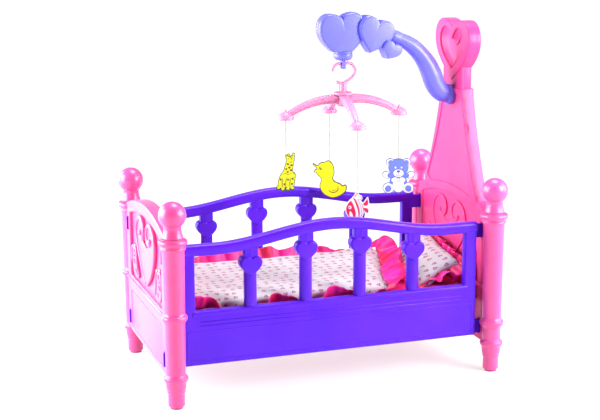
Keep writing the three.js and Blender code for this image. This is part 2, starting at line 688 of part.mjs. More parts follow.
const fish = () => plate(
  disc(-3, -22, 14, 16.5),
  polygon([-8, -8], [-2, 0], [3, -1], [8, -13]),
  polygon([6, -20], [17, -9], [15.5, -20], [17, -31], [6, -26]),
  polygon([-8, -34], [-2, -42.5], [4, -41], [4, -33]),
);

// drop runs from CAP_LOW to the top of the figure, and lift raises or lowers the cap of that arm.
const figures = [
  { name: 'giraffe', drop: 47.5, lift: 2, solid: giraffe(), turn: -19, color: 0xe9d820 },
  { name: 'fish', drop: 88, lift: -2.4, solid: fish(), turn: -19, color: 0xe23b4e },
  { name: 'bear', drop: 60.5, lift: 3.6, solid: bear(), turn: -19, color: 0x6f7fe6 },
  { name: 'duck', drop: 74, lift: -2.4, solid: duck(), turn: -25, color: 0xfff000 },
];

// A free string is laid as one straight run, pulled taut by its figure.
function string(drop, lift) {
  const section = disc(0, 0, STRING_D / 2);
  const top = new THREE.Vector3(0, 0, CAP_LOW + lift - GAP);
  const path = new THREE.LineCurve3(top, new THREE.Vector3(0, 0, CAP_LOW - drop + GAP));
  return toSolid(new THREE.ExtrudeGeometry(section, { extrudePath: path, steps: 8, curveSegments: 4 }));
}

// ---------- assembly ----------
const crib = new THREE.Group();
crib.name = 'doll_crib';

function place(parent, name, solid, material, position = [0, 0, 0], turn = 0) {
  const mesh = new THREE.Mesh(toGeometry(solid), material);
  mesh.name = name;
  mesh.position.set(...position);
  mesh.rotation.z = turn;
  parent.add(mesh);
}

const frame = new THREE.Group();
crib.add(frame);
for (const { name, x, y, ringZ } of corners) {
  place(frame, `post_${name}`, turned(postProfile(ringZ)), paint(PINK), [x, y, 0]);
  place(frame, `finial_${name}`, finial(), paint(PINK), [x, y, 0]);
  place(frame, `glide_${name}`, rod(GLIDE_R, 0, GLIDE_H, 18), paint(0xd85aa5, 0.5), [x, y, 0]);
}
place(frame, 'footboard', board(-1), paint(PALE_PINK));
place(frame, 'headboard', headboard(), paint(PINK));
place(frame, 'heart_crest', crest(), paint(PINK));
place(frame, 'side_rail_right', rail(), paint(PURPLE));
place(frame, 'side_rail_left', rail().mirror([0, 1, 0]), paint(PURPLE));
place(frame, 'bed_deck', deck(), paint(PINK, 0.45));

const bedding = new THREE.Group();
crib.add(bedding);
place(bedding, 'mattress', pad(-214, 214, 101, padLow, padTop, 8), paint(0xe0307e, 0.9));
place(bedding, 'quilt', quilt(), paint(0xf3ecef, 0.9));
place(bedding, 'pillow', pillow(), paint(0xf3ecef, 0.9));

const drive = new THREE.Group();
crib.add(drive);
place(drive, 'mobile_arm', arm(), paint(PERIWINKLE));
place(drive, 'heart_front', heartFront(), paint(PERIWINKLE));
place(drive, 'heart_back', heartBack(), paint(PERIWINKLE));
place(drive, 'heart_medium', midHousing(), paint(PERIWINKLE));
place(drive, 'heart_small', smallHousing(), paint(PERIWINKLE));
place(drive, 'collar', collar(), paint(PERIWINKLE));
place(drive, 'battery_door', batteryDoor(), paint(PERIWINKLE, 0.4));
place(drive, 'battery_cell_lower', cell(CELL_ZS[0]), metal(0x2f9e62, 0.4));
place(drive, 'battery_cell_upper', cell(CELL_ZS[1]), metal(0x2f9e62, 0.4));
place(drive, 'switch_knob', switchKnob(), paint(0xf2f2f2, 0.4));
place(drive, 'screw_left', screw(29, 463), metal(0xc9ccd1));
place(drive, 'screw_right', screw(66, 463), metal(0xc9ccd1));
place(drive, 'motor', motor(), metal(0xb8bcc4));
place(drive, 'motor_pinion', pinion(), paint(0xf4f4ee, 0.4));
place(drive, 'drive_gear', gear(GEAR_TEETH, GEAR_Z, GEAR_Z + GEAR_T, 2.5 + GAP, 0), paint(0xf4f4ee, 0.4), [SPIN_X, 0, 0]);
place(drive, 'spindle', spindle(), paint(PERIWINKLE));

const mobile = new THREE.Group();
crib.add(mobile);
place(mobile, 'heart_hook', hook(), paint(PALE_PINK));
place(mobile, 'mobile_hub', hub(), paint(PALE_PINK));
figures.forEach(({ name, drop, lift, solid, turn, color }, k) => {
  const at = [SPIN_X + ARM_REACH * Math.cos(armAngles[k]), ARM_REACH * Math.sin(armAngles[k]), 0];
  const facing = THREE.MathUtils.degToRad(turn);
  place(mobile, `branch_${name}`, mobileArm(lift), paint(PALE_PINK), [SPIN_X, 0, 0], armAngles[k]);
  place(mobile, `cap_${name}`, capSolid(), paint(PALE_PINK), [at[0], at[1], lift], armAngles[k]);
  place(mobile, `string_${name}`, string(drop, lift), paint(0xe9e6e6, 0.7), at);
  place(mobile, `figure_${name}`, solid, paint(color, 0.35), [at[0], at[1], CAP_LOW - drop], facing);
});

export default crib;
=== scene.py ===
"""Looks of the toy doll crib: plastics, bedding and the hanging mobile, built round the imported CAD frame."""

import math
import random

import bmesh
import bpy
import numpy as np
from mathutils import Matrix, Vector
from mathutils.noise import noise


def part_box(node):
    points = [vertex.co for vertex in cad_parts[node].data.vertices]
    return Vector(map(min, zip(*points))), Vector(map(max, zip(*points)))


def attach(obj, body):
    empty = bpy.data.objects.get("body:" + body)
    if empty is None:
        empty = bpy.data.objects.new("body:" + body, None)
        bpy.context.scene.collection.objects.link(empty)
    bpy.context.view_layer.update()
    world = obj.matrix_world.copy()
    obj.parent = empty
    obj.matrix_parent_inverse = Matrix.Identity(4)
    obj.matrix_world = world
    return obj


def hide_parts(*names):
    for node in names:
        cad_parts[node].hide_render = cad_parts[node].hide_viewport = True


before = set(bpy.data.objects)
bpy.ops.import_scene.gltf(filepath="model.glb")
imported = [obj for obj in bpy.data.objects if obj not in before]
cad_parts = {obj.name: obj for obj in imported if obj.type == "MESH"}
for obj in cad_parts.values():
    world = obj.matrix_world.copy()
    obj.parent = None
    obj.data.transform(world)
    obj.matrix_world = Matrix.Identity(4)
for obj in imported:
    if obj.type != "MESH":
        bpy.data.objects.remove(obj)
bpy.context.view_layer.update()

MM = 0.001  # lengths and points are in millimetres until a mesh is made


def box_mm(node):
    """Lowest and highest corner of a CAD node."""
    low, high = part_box(node)
    return np.array(low) / MM, np.array(high) / MM


def heights(node):
    return (end[2] for end in box_mm(node))


# --- driving dimensions, from the frame ---
CORNERS = ("foot_right", "foot_left", "head_right", "head_left")
FIGURES = ("giraffe", "fish", "bear", "duck")
POST_AT = {c: sum(box_mm(f"glide_{c}")) / 2 for c in CORNERS}
POST_Y = POST_AT["head_left"][1]
FOOTBOARD_LOW, FOOTBOARD_HIGH = box_mm("footboard")
BOARD_IN, BOARD_OUT = -FOOTBOARD_HIGH[0], -FOOTBOARD_LOW[0]
BOARD_BOTTOM, ARCH_TOP = FOOTBOARD_LOW[2], FOOTBOARD_HIGH[2]
SPIN_X = sum(box_mm("drive_gear"))[0] / 2
CAP_AT = {f: sum(box_mm(f"cap_{f}"))[:2] / 2 for f in FIGURES}

# --- dimensions read off the photo ---
ARCH_R = 357  # of both end boards' arches
RING_TOP_Z, RING_Z = 225.4, {"foot": 124, "head": 71.5}  # the posts' turned rings
BALL_Z, BALL_R = 261, 18.3
DEEP, SHALLOW = 5.0, 1.8  # how far a board's field lies back on its outer and its inner face
STILE_Y, MID_LOW, MID_TOP = 97, 104, 127  # edges of the boards' fields
TAB_IN, TAB_OUT, TAB_H, TAB_ZS = 104.5, 110, 20, (52, 192)
TAB_REACH = 6.1  # of a tab's slot past TAB_IN
RAIL_MID, RAIL_END_TOP, RAIL_HUMP, RAIL_HUMP_HALF = -4.5, 216.5, 21.3, 168
RAIL_X0, RAIL_X1, RAIL_OUT, RAIL_IN = -217, 208, 120, 104
RAIL_BAR, SILL_Z, WINDOW_HALF = 15.4, 126, 195
SLAT_GAP, SLAT_HALF = 78.3, 8.6
BED_TOP = 121  # nothing of the pillow's ruffle hangs lower


# --- materials ---
class Look:
    """A material, or the world, whose nodes are wired as they are made."""

    def __init__(self, name, kind="materials"):
        self.owner = getattr(bpy.data, kind).new(name)
        self.owner.use_nodes = True
        self.tree = self.owner.node_tree
        self.place = self.add("TexCoord").outputs["Object"]

    def wire(self, socket, value):
        """Links a socket to a node or another socket, or sets it to a plain value."""
        if isinstance(value, bpy.types.Node):
            value = value.outputs[0]
        if isinstance(value, bpy.types.NodeSocket):
            self.tree.links.new(value, socket)
        else:
            socket.default_value = value

    def add(self, kind, inputs=None, **settings):
        made = self.tree.nodes.new("ShaderNode" + kind)
        for key, value in settings.items():
            setattr(made, key, value)
        for key, value in (inputs or {}).items():
            self.wire(made.inputs[key], value)
        return made

    def sum_of(self, operation, *values, kind="Math"):
        return self.add(kind, dict(enumerate(values)), operation=operation)

    def noise(self, scale, detail=2, rough=0.5):
        return self.add("TexNoise", {"Vector": self.place, "Scale": scale, "Detail": detail, "Roughness": rough})

    def ramp(self, fac, *stops):
        made = self.add("ValToRGB", {"Fac": fac})
        for element, (at, colour) in zip(made.color_ramp.elements, stops):
            element.position, element.color = at, (*colour, 1)
        return made

    def span(self, value, start=(0, 1), end=(0, 1)):
        keys = ("Value", "From Min", "From Max", "To Min", "To Max")
        return self.add("MapRange", dict(zip(keys, (value, *start, *end))))

    def bump(self, height, strength, distance):
        return self.add("Bump", {"Height": height, "Strength": strength, "Distance": distance})

    def shade(self, inputs):
        for key, value in inputs.items():
            self.wire(self.tree.nodes["Principled BSDF"].inputs[key], value)
        return self.owner


def plastic(name, colour, deep, rough=0.36, coat=0.6, index=1.6, gloss=0.3, bloom=0.0):
    """Injection-moulded plastic: faint flow mottling, orange peel, uneven gloss and a pale bloom at the edges."""
    look = Look(name)
    return look.shade({
        "Base Color": look.ramp(look.noise(11, 4, 0.6), (0.32, deep), (0.68, colour)),
        "Roughness": look.span(look.noise(55, 6), end=(rough - 0.06, rough + 0.1)),
        "Normal": look.bump(look.noise(900), 0.06, 0.0004),
        "Coat Weight": coat, "Coat Roughness": 0.3, "Coat IOR": index, "Specular IOR Level": gloss,
        "Sheen Weight": bloom, "Sheen Roughness": 0.35})


def ink(name, colour, deep):
    return plastic(name, colour, deep, 0.4, 0.2)


def satin(name, colour, fold_shade):
    """Woven satin: fine thread lines, a silky highlight, and painted fold shade in darker patches spread by noise."""
    look = Look(name)
    wave = {"Vector": look.place, "Scale": 900, "Distortion": 1.5, "Detail": 1}
    threads = look.add("TexWave", wave).outputs["Fac"]
    return look.shade({
        # painted fold shade: noise darkens patches of the base colour toward the darker colour
        "Base Color": look.ramp(look.noise(40, 4), (0.4, fold_shade), (0.58, colour)),
        "Roughness": look.span(threads, end=(0.34, 0.5)),
        "Normal": look.bump(threads, 0.12, 0.0002),
        "Sheen Weight": 0.12, "Sheen Roughness": 0.35, "Sheen Tint": (1.0, 0.45, 0.7, 1.0)})


def printed_cotton(name, scale=73.0):
    """White cotton with a plain weave and rows of tiny pink printed hearts, scale of them to the metre."""
    look = Look(name)
    # height is added to depth, so that the print doesn't stretch down the near side
    axes = look.add("SeparateXYZ", {0: look.place})
    flat = look.add("CombineXYZ", {0: axes, 1: look.sum_of("ADD", axes.outputs[1], axes.outputs[2])})
    cells = look.add("TexVoronoi", {"Vector": flat, "Scale": scale, "Randomness": 0.35}, voronoi_dimensions="3D")
    # a print per cell, turned at random: a ring round the cell's centre, drawn down at its middle to a heart
    here, centre = (look.add("VectorMath", {0: at, "Scale": scale}, operation="SCALE")
                    for at in (flat, cells.outputs["Position"]))
    turn = look.sum_of("MULTIPLY", look.add("SeparateXYZ", {0: cells.outputs["Color"]}), 2.2)
    spun = look.add("VectorRotate", {"Vector": look.sum_of("SUBTRACT", here, centre, kind="VectorMath"),
                                     "Angle": turn}, rotation_type="Z_AXIS")
    parts = look.add("SeparateXYZ", {0: spun})
    lift = look.sum_of("MULTIPLY_ADD", look.sum_of("ABSOLUTE", parts), -0.75, parts.outputs[1])
    heart = look.add("CombineXYZ", {0: parts, 1: lift})
    size = look.sum_of("LENGTH", heart, kind="VectorMath").outputs["Value"]
    ring = look.sum_of("MULTIPLY", look.span(size, (0.245, 0.21)), look.span(size, (0.05, 0.08)))
    printed = look.sum_of("MULTIPLY", ring, look.span(look.noise(600), (0.3, 0.6), (0.55, 0.95)))
    cloth = look.ramp(look.noise(18, 3), (0.3, (0.46, 0.44, 0.46)), (0.7, (0.55, 0.53, 0.55)))
    mix = look.add("Mix", {0: printed, 6: cloth, 7: (0.27, 0.02, 0.07, 1.0)}, data_type="RGBA")
    weave = look.add("TexBrick", {"Vector": look.place, "Scale": 700}).outputs["Fac"]
    return look.shade({"Base Color": mix.outputs[2], "Normal": look.bump(weave, 0.15, 0.0002),
                       "Roughness": 0.82, "Sheen Weight": 0.25})


def metal(name, colour, rough=0.3):
    look = Look(name)
    brushed = look.noise(400, 4)
    return look.shade({"Base Color": look.ramp(brushed, (0.3, [c * 0.8 for c in colour]), (0.7, colour)),
                       "Roughness": look.span(brushed, end=(rough - 0.1, rough + 0.12)), "Metallic": 1.0})


def thread(name):
    look = Look(name)
    wave = {"Vector": look.place, "Scale": 1400, "Distortion": 2}
    twist = look.add("TexWave", wave, bands_direction="Z").outputs["Fac"]
    return look.shade({"Base Color": look.ramp(twist, (0.2, (0.20, 0.19, 0.16)), (0.8, (0.36, 0.34, 0.30))),
                       "Roughness": 0.7})


PINK = plastic("pink_plastic", (0.80, 0.075, 0.30), (0.76, 0.061, 0.26), coat=0.6, index=1.55, bloom=0.12)
BOARD_PINK = plastic("board_plastic", (0.77, 0.05, 0.245), (0.73, 0.04, 0.207), 0.5, 0.2, gloss=0.12, bloom=0.1)
PALE = plastic("pale_pink_plastic", (0.72, 0.25, 0.44), (0.67, 0.21, 0.39), coat=0.3, gloss=0.2)
PURPLE = plastic("purple_plastic", (0.098, 0.008, 0.70), (0.072, 0.004, 0.61), 0.3, 0.2, gloss=0.12, bloom=0.1)
PERI = plastic("periwinkle_plastic", (0.145, 0.145, 0.75), (0.125, 0.12, 0.70), coat=0.3, gloss=0.2)
GLIDE = plastic("glide_plastic", (0.55, 0.07, 0.27), (0.48, 0.05, 0.22), rough=0.5, coat=0.0)
WHITE = plastic("white_plastic", (0.80, 0.80, 0.78), (0.74, 0.74, 0.72), rough=0.4, coat=0.1)
# the satin's darker colour is painted fold shade
SATIN = satin("satin_ruffle", (0.88, 0.012, 0.31), (0.64, 0.002, 0.07))
COTTON = printed_cotton("printed_cotton")
STEEL = metal("bright_steel", (0.72, 0.73, 0.76))
CELL = metal("battery_sleeve", (0.10, 0.42, 0.24), 0.4)
THREAD = thread("string")
YELLOW = ink("duck_yellow", (0.90, 0.92, 0.004), (0.86, 0.86, 0.004))
OLIVE = ink("giraffe_yellow", (0.72, 0.76, 0.02), (0.62, 0.66, 0.015))
DARK_OLIVE = ink("olive_ink", (0.06, 0.075, 0.012), (0.035, 0.05, 0.008))
SPOT = ink("spot_ink", (0.30, 0.12, 0.02), (0.22, 0.08, 0.015))
PRINT_BLUE = ink("bear_blue", (0.15, 0.21, 0.70), (0.12, 0.17, 0.62))
BLUE_INK = ink("blue_ink", (0.06, 0.08, 0.34), (0.045, 0.06, 0.28))
PAPER = plastic("print_white", (0.80, 0.80, 0.82), (0.72, 0.73, 0.76), 0.45, 0.2)
RED = ink("fish_red", (0.78, 0.02, 0.07), (0.70, 0.012, 0.05))


# --- mesh tools ---
def place_in_scene(name, data):
    obj = bpy.data.objects.new(name, data)
    bpy.context.scene.collection.objects.link(obj)
    return obj


def make(name, verts, faces, material, sharp=38):
    """A mesh object from points in millimetres, shaded smooth up to the sharp angle."""
    mesh = bpy.data.meshes.new(name)
    mesh.from_pydata([tuple(float(c) * MM for c in v) for v in verts], [], faces)
    return finish_mesh(name, mesh, material, sharp)


def finish_mesh(name, mesh, material, sharp=38):
    bm = bmesh.new()
    bm.from_mesh(mesh)
    bmesh.ops.remove_doubles(bm, verts=bm.verts, dist=1e-7)
    bmesh.ops.recalc_face_normals(bm, faces=bm.faces)
    bm.to_mesh(mesh)
    bm.free()
    mesh.shade_smooth()
    mesh.set_sharp_from_angle(angle=math.radians(sharp))
    mesh.materials.clear()
    mesh.materials.append(material)
    return place_in_scene(name, mesh)


def join(name, *parts):
    """One object from several, keeping each one's material."""
    bm = bmesh.new()
    worn = [part.data.materials[0] for part in parts]
    materials = list(dict.fromkeys(worn))
    for part, material in zip(parts, worn):
        start = len(bm.faces)
        bm.from_mesh(part.data)
        bm.faces.ensure_lookup_table()
        for face in bm.faces[start:]:
            face.material_index = materials.index(material)
        bpy.data.objects.remove(part)
    mesh = bpy.data.meshes.new(name)
    bm.to_mesh(mesh)
    bm.free()
    for material in materials:
        mesh.materials.append(material)
    return place_in_scene(name, mesh)


def claim(obj, node, slot, body="crib"):
    """Puts the piece on the body it rides on and hides the CAD node it stands for; slot is not used."""
    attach(obj, body)
    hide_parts(node)


def bezier(points, t):
    """The point at t of a Bezier curve of any degree."""
    while len(points) > 1:
        points = [(1 - t) * a + t * b for a, b in zip(points, points[1:])]
    return points[0]


def catmull(a, b, c, d, t):
    return 0.5 * (2 * b + (c - a) * t + (2 * a - 5 * b + 4 * c - d) * t**2 + (3 * b - a - 3 * c + d) * t**3)


def unit(vector):
    return vector / np.linalg.norm(vector)


def fillet(points, radius, steps=4, closed=False):
    """The polyline with each corner rounded off by a short curve."""
    points = [np.array(p, float) for p in points]
    count = len(points)
    out = []
    for i, corner in enumerate(points):
        if not closed and i in (0, count - 1):
            out.append(corner)
            continue
        arms = points[i - 1] - corner, points[(i + 1) % count] - corner
        reach = min(radius, *(np.linalg.norm(arm) * 0.45 for arm in arms))
        start, end = (corner + arm / np.linalg.norm(arm) * reach for arm in arms)
        out += [bezier([start, corner, end], k / steps) for k in range(steps + 1)]
    return out


def turned(points):
    """The closed ring's angles, evenly spaced."""
    return [2 * math.pi * k / points for k in range(points)]


def loft(name, rows, material, sharp=38, ends=False):
    """A skin over closed rows of points; a row of one is a pole, and ends fills the first and last rows."""
    verts, faces, rings = [], [], []
    for row in rows:
        rings.append(range(len(verts), len(verts) + len(row)))
        verts += row
    for low, high in zip(rings, rings[1:]):
        count = max(len(low), len(high))
        for k in range(count if count > 1 else 0):
            n = (k + 1) % count
            corners = [low[k], low[n]] if len(low) > 1 else [low[0]]
            faces.append((*corners, *([high[n], high[k]] if len(high) > 1 else [high[0]])))
    if ends:
        faces += [tuple(rings[0]), tuple(rings[-1])]
    return make(name, verts, faces, material, sharp)


def lathe(name, profile, material, at=(0, 0), segments=72, radius=0.6):
    """A solid of revolution about a vertical axis from (radius, z) pairs that start and end on the axis."""
    rows = []
    for r, z in fillet(profile, radius, 3):
        angles = turned(segments) if r >= 1e-6 else [0]
        rows.append([(at[0] + r * math.cos(a), at[1] + r * math.sin(a), z) for a in angles])
    return loft(name, rows, material)


PLANES = {  # where a drawn (u, v) and the depth go
    "XZ": Matrix(((1, 0, 0, 0), (0, 0, 1, 0), (0, 1, 0, 0), (0, 0, 0, 1))),
    "YZ": Matrix(((0, 0, 1, 0), (1, 0, 0, 0), (0, 1, 0, 0), (0, 0, 0, 1))),
}


def plate(name, loops, low, high, bevel, material, plane="XZ", resolution=3):
    """A flat moulding between depths low and high: the first loop is its outline, the rest are holes."""
    curve = bpy.data.curves.new(name, "CURVE")
    curve.dimensions = "2D"
    curve.fill_mode = "BOTH"
    curve.extrude = ((high - low) / 2 - bevel) * MM
    curve.bevel_depth = bevel * MM
    curve.bevel_resolution = resolution
    curve.offset = -bevel * MM
    for loop in loops:
        drawn = curve.splines.new("POLY")
        drawn.points.add(len(loop) - 1)
        for point, (u, v) in zip(drawn.points, loop):
            point.co = (u * MM, v * MM, 0, 1)
        drawn.use_cyclic_u = True
    holder = place_in_scene(name, curve)
    graph = bpy.context.evaluated_depsgraph_get()
    mesh = bpy.data.meshes.new_from_object(holder.evaluated_get(graph))
    bpy.data.objects.remove(holder)
    bpy.data.curves.remove(curve)
    mesh.transform(PLANES[plane] @ Matrix.Translation((0, 0, (low + high) / 2 * MM)))
    return finish_mesh(name, mesh, material)


def spline(points, samples, closed=False):
    """A smooth curve through the points, sampled evenly by parameter."""
    points = [np.array(p, float) for p in points]
    spans = len(points) if closed else len(points) - 1
    before, *after = (points[-1], *points[:2]) if closed else (2 * points[0] - points[1], 2 * points[-1] - points[-2])
    points = [before, *points, *after]
    out = []
    for i in range(samples):
        at = min(i / (samples if closed else samples - 1) * spans, spans - 1e-9)
        out.append(catmull(*points[int(at) : int(at) + 4], at - int(at)))
    return out


def dome(ring, end, beside, radius):
    """The rows that close a tube's end with a low dome."""
    out = unit(end - beside) * radius
    rows = [[end + (v - end) * math.cos(part) + out * math.sin(part) * 0.5 for v in ring]
            for part in (0.2 * math.pi, 0.375 * math.pi)]
    return [*rows, [end + out * 0.5]]


def tube(name, path, radii, material, sides=20, squash=1.0, normal=(0, 1, 0)):
    """A round or oval bar along a path; radii is a number or one per point, and squash is along the normal."""
    path = [np.array(p, float) for p in path]
    radii = [radii] * len(path) if isinstance(radii, (int, float)) else radii
    rows = []
    for i, point in enumerate(path):
        tangent = unit(path[min(i + 1, len(path) - 1)] - path[max(i - 1, 0)])
        across = unit(np.cross(tangent, normal))
        other = squash * np.cross(across, tangent)
        rows.append([point + radii[i] * (math.cos(a) * across + math.sin(a) * other) for a in turned(sides)])
    first, last = dome(rows[0], *path[:2], radii[0]), dome(rows[-1], path[-1], path[-2], radii[-1])
    return loft(name, [*reversed(first), *rows, *last], material)


def heart_points(w, h, u=0.0, v=0.0, tilt=0.0, steps=18, notch=0.88):
    """A heart outline with its tip at (u, v), turned clockwise by tilt degrees."""
    curves = np.array([
        ((0, 0), (0.24, 0.2), (0.5, 0.4), (0.5, 0.68)),
        ((0.5, 0.68), (0.5, 0.88), (0.38, 1), (0.26, 1)),
        ((0.26, 1), (0.13, 1), (0.03, notch + 0.08), (0, notch)),
    ])
    half = [tuple(bezier(curve, i / steps)) for curve in curves for i in range(steps)]
    full = half + [(0, notch)] + [(-p, q) for p, q in reversed(half[1:])]
    cos, sin = math.cos(math.radians(tilt)), -math.sin(math.radians(tilt))
    return [(u + p * w * cos - q * h * sin, v + p * w * sin + q * h * cos) for p, q in full]


def puffed(name, outline, profile, material, centre, floor=-math.inf, size=40):
    """A solid drawn in (x, z) whose section shrinks toward its centre: (scale, depth) pairs from face to face, with
    their corners rounded as if the solid measured its size."""
    outline, centre = np.array(outline), np.array(centre)
    rows = []
    for scale, depth in fillet([(scale * size, depth) for scale, depth in profile], 0.5, 2):
        ring = centre + (outline - centre) * scale / size if scale > 0 else [centre]
        rows.append([(u, max(v, floor), depth) for u, v in ring])
    obj = loft(name, rows, material, 42)
    obj.data.transform(PLANES["XZ"])
    return obj


def arch_at(y, top):
    return top - ARCH_R + math.sqrt(ARCH_R**2 - y**2)


def arch_points(half, top, steps=40):
    return [(y, arch_at(y, top)) for y in (half - 2 * half * i / steps for i in range(steps + 1))]


def oblong(u0, u1, v0, v1, r, steps=5):
    return fillet([(u0, v0), (u1, v0), (u1, v1), (u0, v1)], r, steps, closed=True)


def shrunk(outline, by):
    """The outline drawn in by a fixed distance."""
    points = np.array(outline)
    after = np.roll(points, -1, 0)
    tangent = after - np.roll(points, 1, 0)
    tangent /= np.linalg.norm(tangent, axis=1)[:, None]
    normal = np.stack((-tangent[:, 1], tangent[:, 0]), 1)
    area = np.sum(points[:, 0] * after[:, 1] - after[:, 0] * points[:, 1])
    return [tuple(p) for p in points + normal * by * (1 if area > 0 else -1)]


def mirrored(points):
    """The drawn points and their mirror image, back to the start."""
    return [*points, *[(-y, z) for y, z in reversed(points)]]


# --- posts ---
def post(corner):
    """A turned post from the glide to the top ring."""
    ring = RING_Z[corner.split("_")[0]]
    low, high = heights(f"post_{corner}")

    def shaft(z):
        return 13 + 2 * (z - 46) / (RING_TOP_Z - 46)

    profile = [
        (0, low), (9.8, low), (11.3, low + 2.2), (11.3, 21.3), (12, 22), (12.4, 22.4), (12.5, 26.4), (13.2, 27),
        (13.9, 35.8), (14.4, 36.4), (14.4, 37.6), (16.2, 38.9), (16.4, 41.2), (16.2, 43.5), (14.4, 44.8), (14.2, 46),
        (shaft(48), 46.8), (shaft(ring - 7), ring - 7), (14.4, ring - 5.4), (14.6, ring - 4), (16.7, ring - 2.9),
        (17.2, ring), (16.7, ring + 2.9), (14.8, ring + 4), (14.6, ring + 5.4), (shaft(ring + 8), ring + 7),
        (shaft(214), 215), (16.7, 215.8), (16.8, 218.6), (15.4, 219.6), (15.6, 221.4), (18.6, 222.4), (19.4, 224.4),
        (19.4, 226.8), (18.4, 228.9), (15.6, high - 0.6), (15.2, high), (0, high),
    ]
    obj = lathe(f"post_{corner}_turned", profile, PINK, POST_AT[corner], 80, 1.1)
    claim(obj, f"post_{corner}", "pink_plastic")


def finial(corner):
    """The ball on a post, on its waisted neck."""
    low = box_mm(f"finial_{corner}")[0][2]
    profile = [(0, low), (13.8, low), (14, low + 1.4), (12.6, low + 6), (11.6, 242.5), (11.7, 244.4)]
    for angle in np.linspace(math.asin(11.9 / BALL_R), math.pi, 25)[:-1]:
        profile.append((BALL_R * math.sin(angle), BALL_Z - BALL_R * math.cos(angle)))
    profile.append((0, BALL_Z + BALL_R))
    obj = lathe(f"finial_{corner}_ball", profile, PINK, POST_AT[corner], 80, 0.5)
    claim(obj, f"finial_{corner}", "pink_plastic")


# --- end boards, drawn in (y, z) ---
CANE = [(5, 138), (25, 152), (44, 172), (53.5, 190), (55.5, 203), (50.5, 215.5), (41, 223.5), (30, 226.5),
        (19.5, 224.5), (12, 217.5), (10, 209), (13, 201.5), (21, 198), (28.5, 200), (31.5, 206)]
LEAF = [(89, 148), (92, 163), (87, 174), (75, 178), (64, 173), (60, 161), (56, 147), (52, 135), (62, 130), (78, 132),
        (86, 139)]
LEAF_EYES = ((77, 151, 3.4), (69.5, 139.5, 2.8))
CURLS = (
    [(88, 151), (91, 163), (86, 172.5), (78, 172), (75.5, 164), (80, 160)],
    [(56, 138), (59.5, 150), (61.5, 163), (65.5, 173), (72, 172.5), (73.5, 165.5), (69.5, 162.5)],
)


def relief(x, out, lift, ridge, material):
    """The heart of two curled canes with a leaf each side, standing on a panel at x; out is the way it faces."""

    def raised(name, loops):
        return plate(name, loops, *sorted((x - out * 0.4, x + out * lift)), min(1.6, lift * 0.45), material, "YZ")

    def ridged(name, points, samples, girth, sides):
        path = [(x + out * lift * 0.75, side * y, z) for y, z in spline(points, samples)]
        return tube(name, path, girth, material, sides, normal=(1, 0, 0))

    heart = [(0, 134), *[p for p in spline(CANE, 60) if p[1] > 139], (15, 193), (0, 189)]
    heart += [(-y, z) for y, z in reversed(heart[1:-1])]
    parts = [raised("heart", [heart])]
    # the canes taper from their crossing and end in a small ball
    girths = [ridge * (0.55 + 0.45 * min(1, i / 20)) * (1.32 if i > 56 else 1) for i in range(60)]
    for side in (1, -1):
        eyes = [[(y + r * math.cos(a), z + 1.25 * r * math.sin(a)) for a in turned(18)] for y, z, r in LEAF_EYES]
        leaf = [[(side * y, z) for y, z in loop] for loop in (spline(LEAF, 70, True), *eyes)]
        parts += [ridged("cane", CANE, 60, girths, 16), raised("leaf", leaf)]
        parts += [ridged("curl", curl, 26, ridge * 0.72, 14) for curl in CURLS]
    return parts


def board_shell(x0, x1, recess0, recess1, material):
    """Frame, recessed core, rounded arch, bead and relief of one end board."""
    half, low = POST_Y - 9, BOARD_BOTTOM

    def arched(bottom, top):
        return [(-half, bottom), (half, bottom), *arch_points(half, top)]

    def panel(inset, radius):
        return oblong(inset - STILE_Y, STILE_Y - inset, low + 6 + inset, MID_LOW - inset, radius)

    upper = [(-STILE_Y, MID_TOP), (STILE_Y, MID_TOP), *arch_points(STILE_Y, ARCH_TOP - 17, 30)]
    slots = [oblong(*sorted((side * (TAB_IN - 0.3), side * (TAB_IN + TAB_REACH))), z - 0.6, z + TAB_H + 0.6, 1)
             for side in (-1, 1) for z in TAB_ZS]
    rim = [arched(low, ARCH_TOP), fillet(upper, 5, 4, True), panel(0, 4), *slots]
    parts = [plate("rim", rim, x0, x1, 2.4, material, "YZ", resolution=4),
             plate("core", [arched(low + 1, ARCH_TOP - 2), *slots], x0 + recess0, x1 - recess1, 0.3, material, "YZ")]
    for x, out, recess in ((x0 + recess0, -1, recess0), (x1 - recess1, 1, recess1)):
        parts += relief(x, out, max(1.1, recess - 1.6), max(2.1, recess * 0.7), material)
        depths = sorted((x - out * 0.4, x + out * (recess - 0.8)))
        parts.append(plate("field", [panel(0.8, 3.4)], *depths, 0.6, material, "YZ"))
    for x in (x0 + 0.9, x1 - 0.9):
        line = [(x, y, MID_TOP - 5.5) for y in (1 - half, half - 1)]
        parts.append(tube("bead", line, 3.2, material, 16, normal=(1, 0, 0)))
    return parts


def tower_side(half, top, foot, low, bend):
    """One flank of the tower from its foot up."""
    return [tuple(bezier(np.array(((foot, low), (half + bend, 325), (half, top))), i / 24)) for i in range(25)]


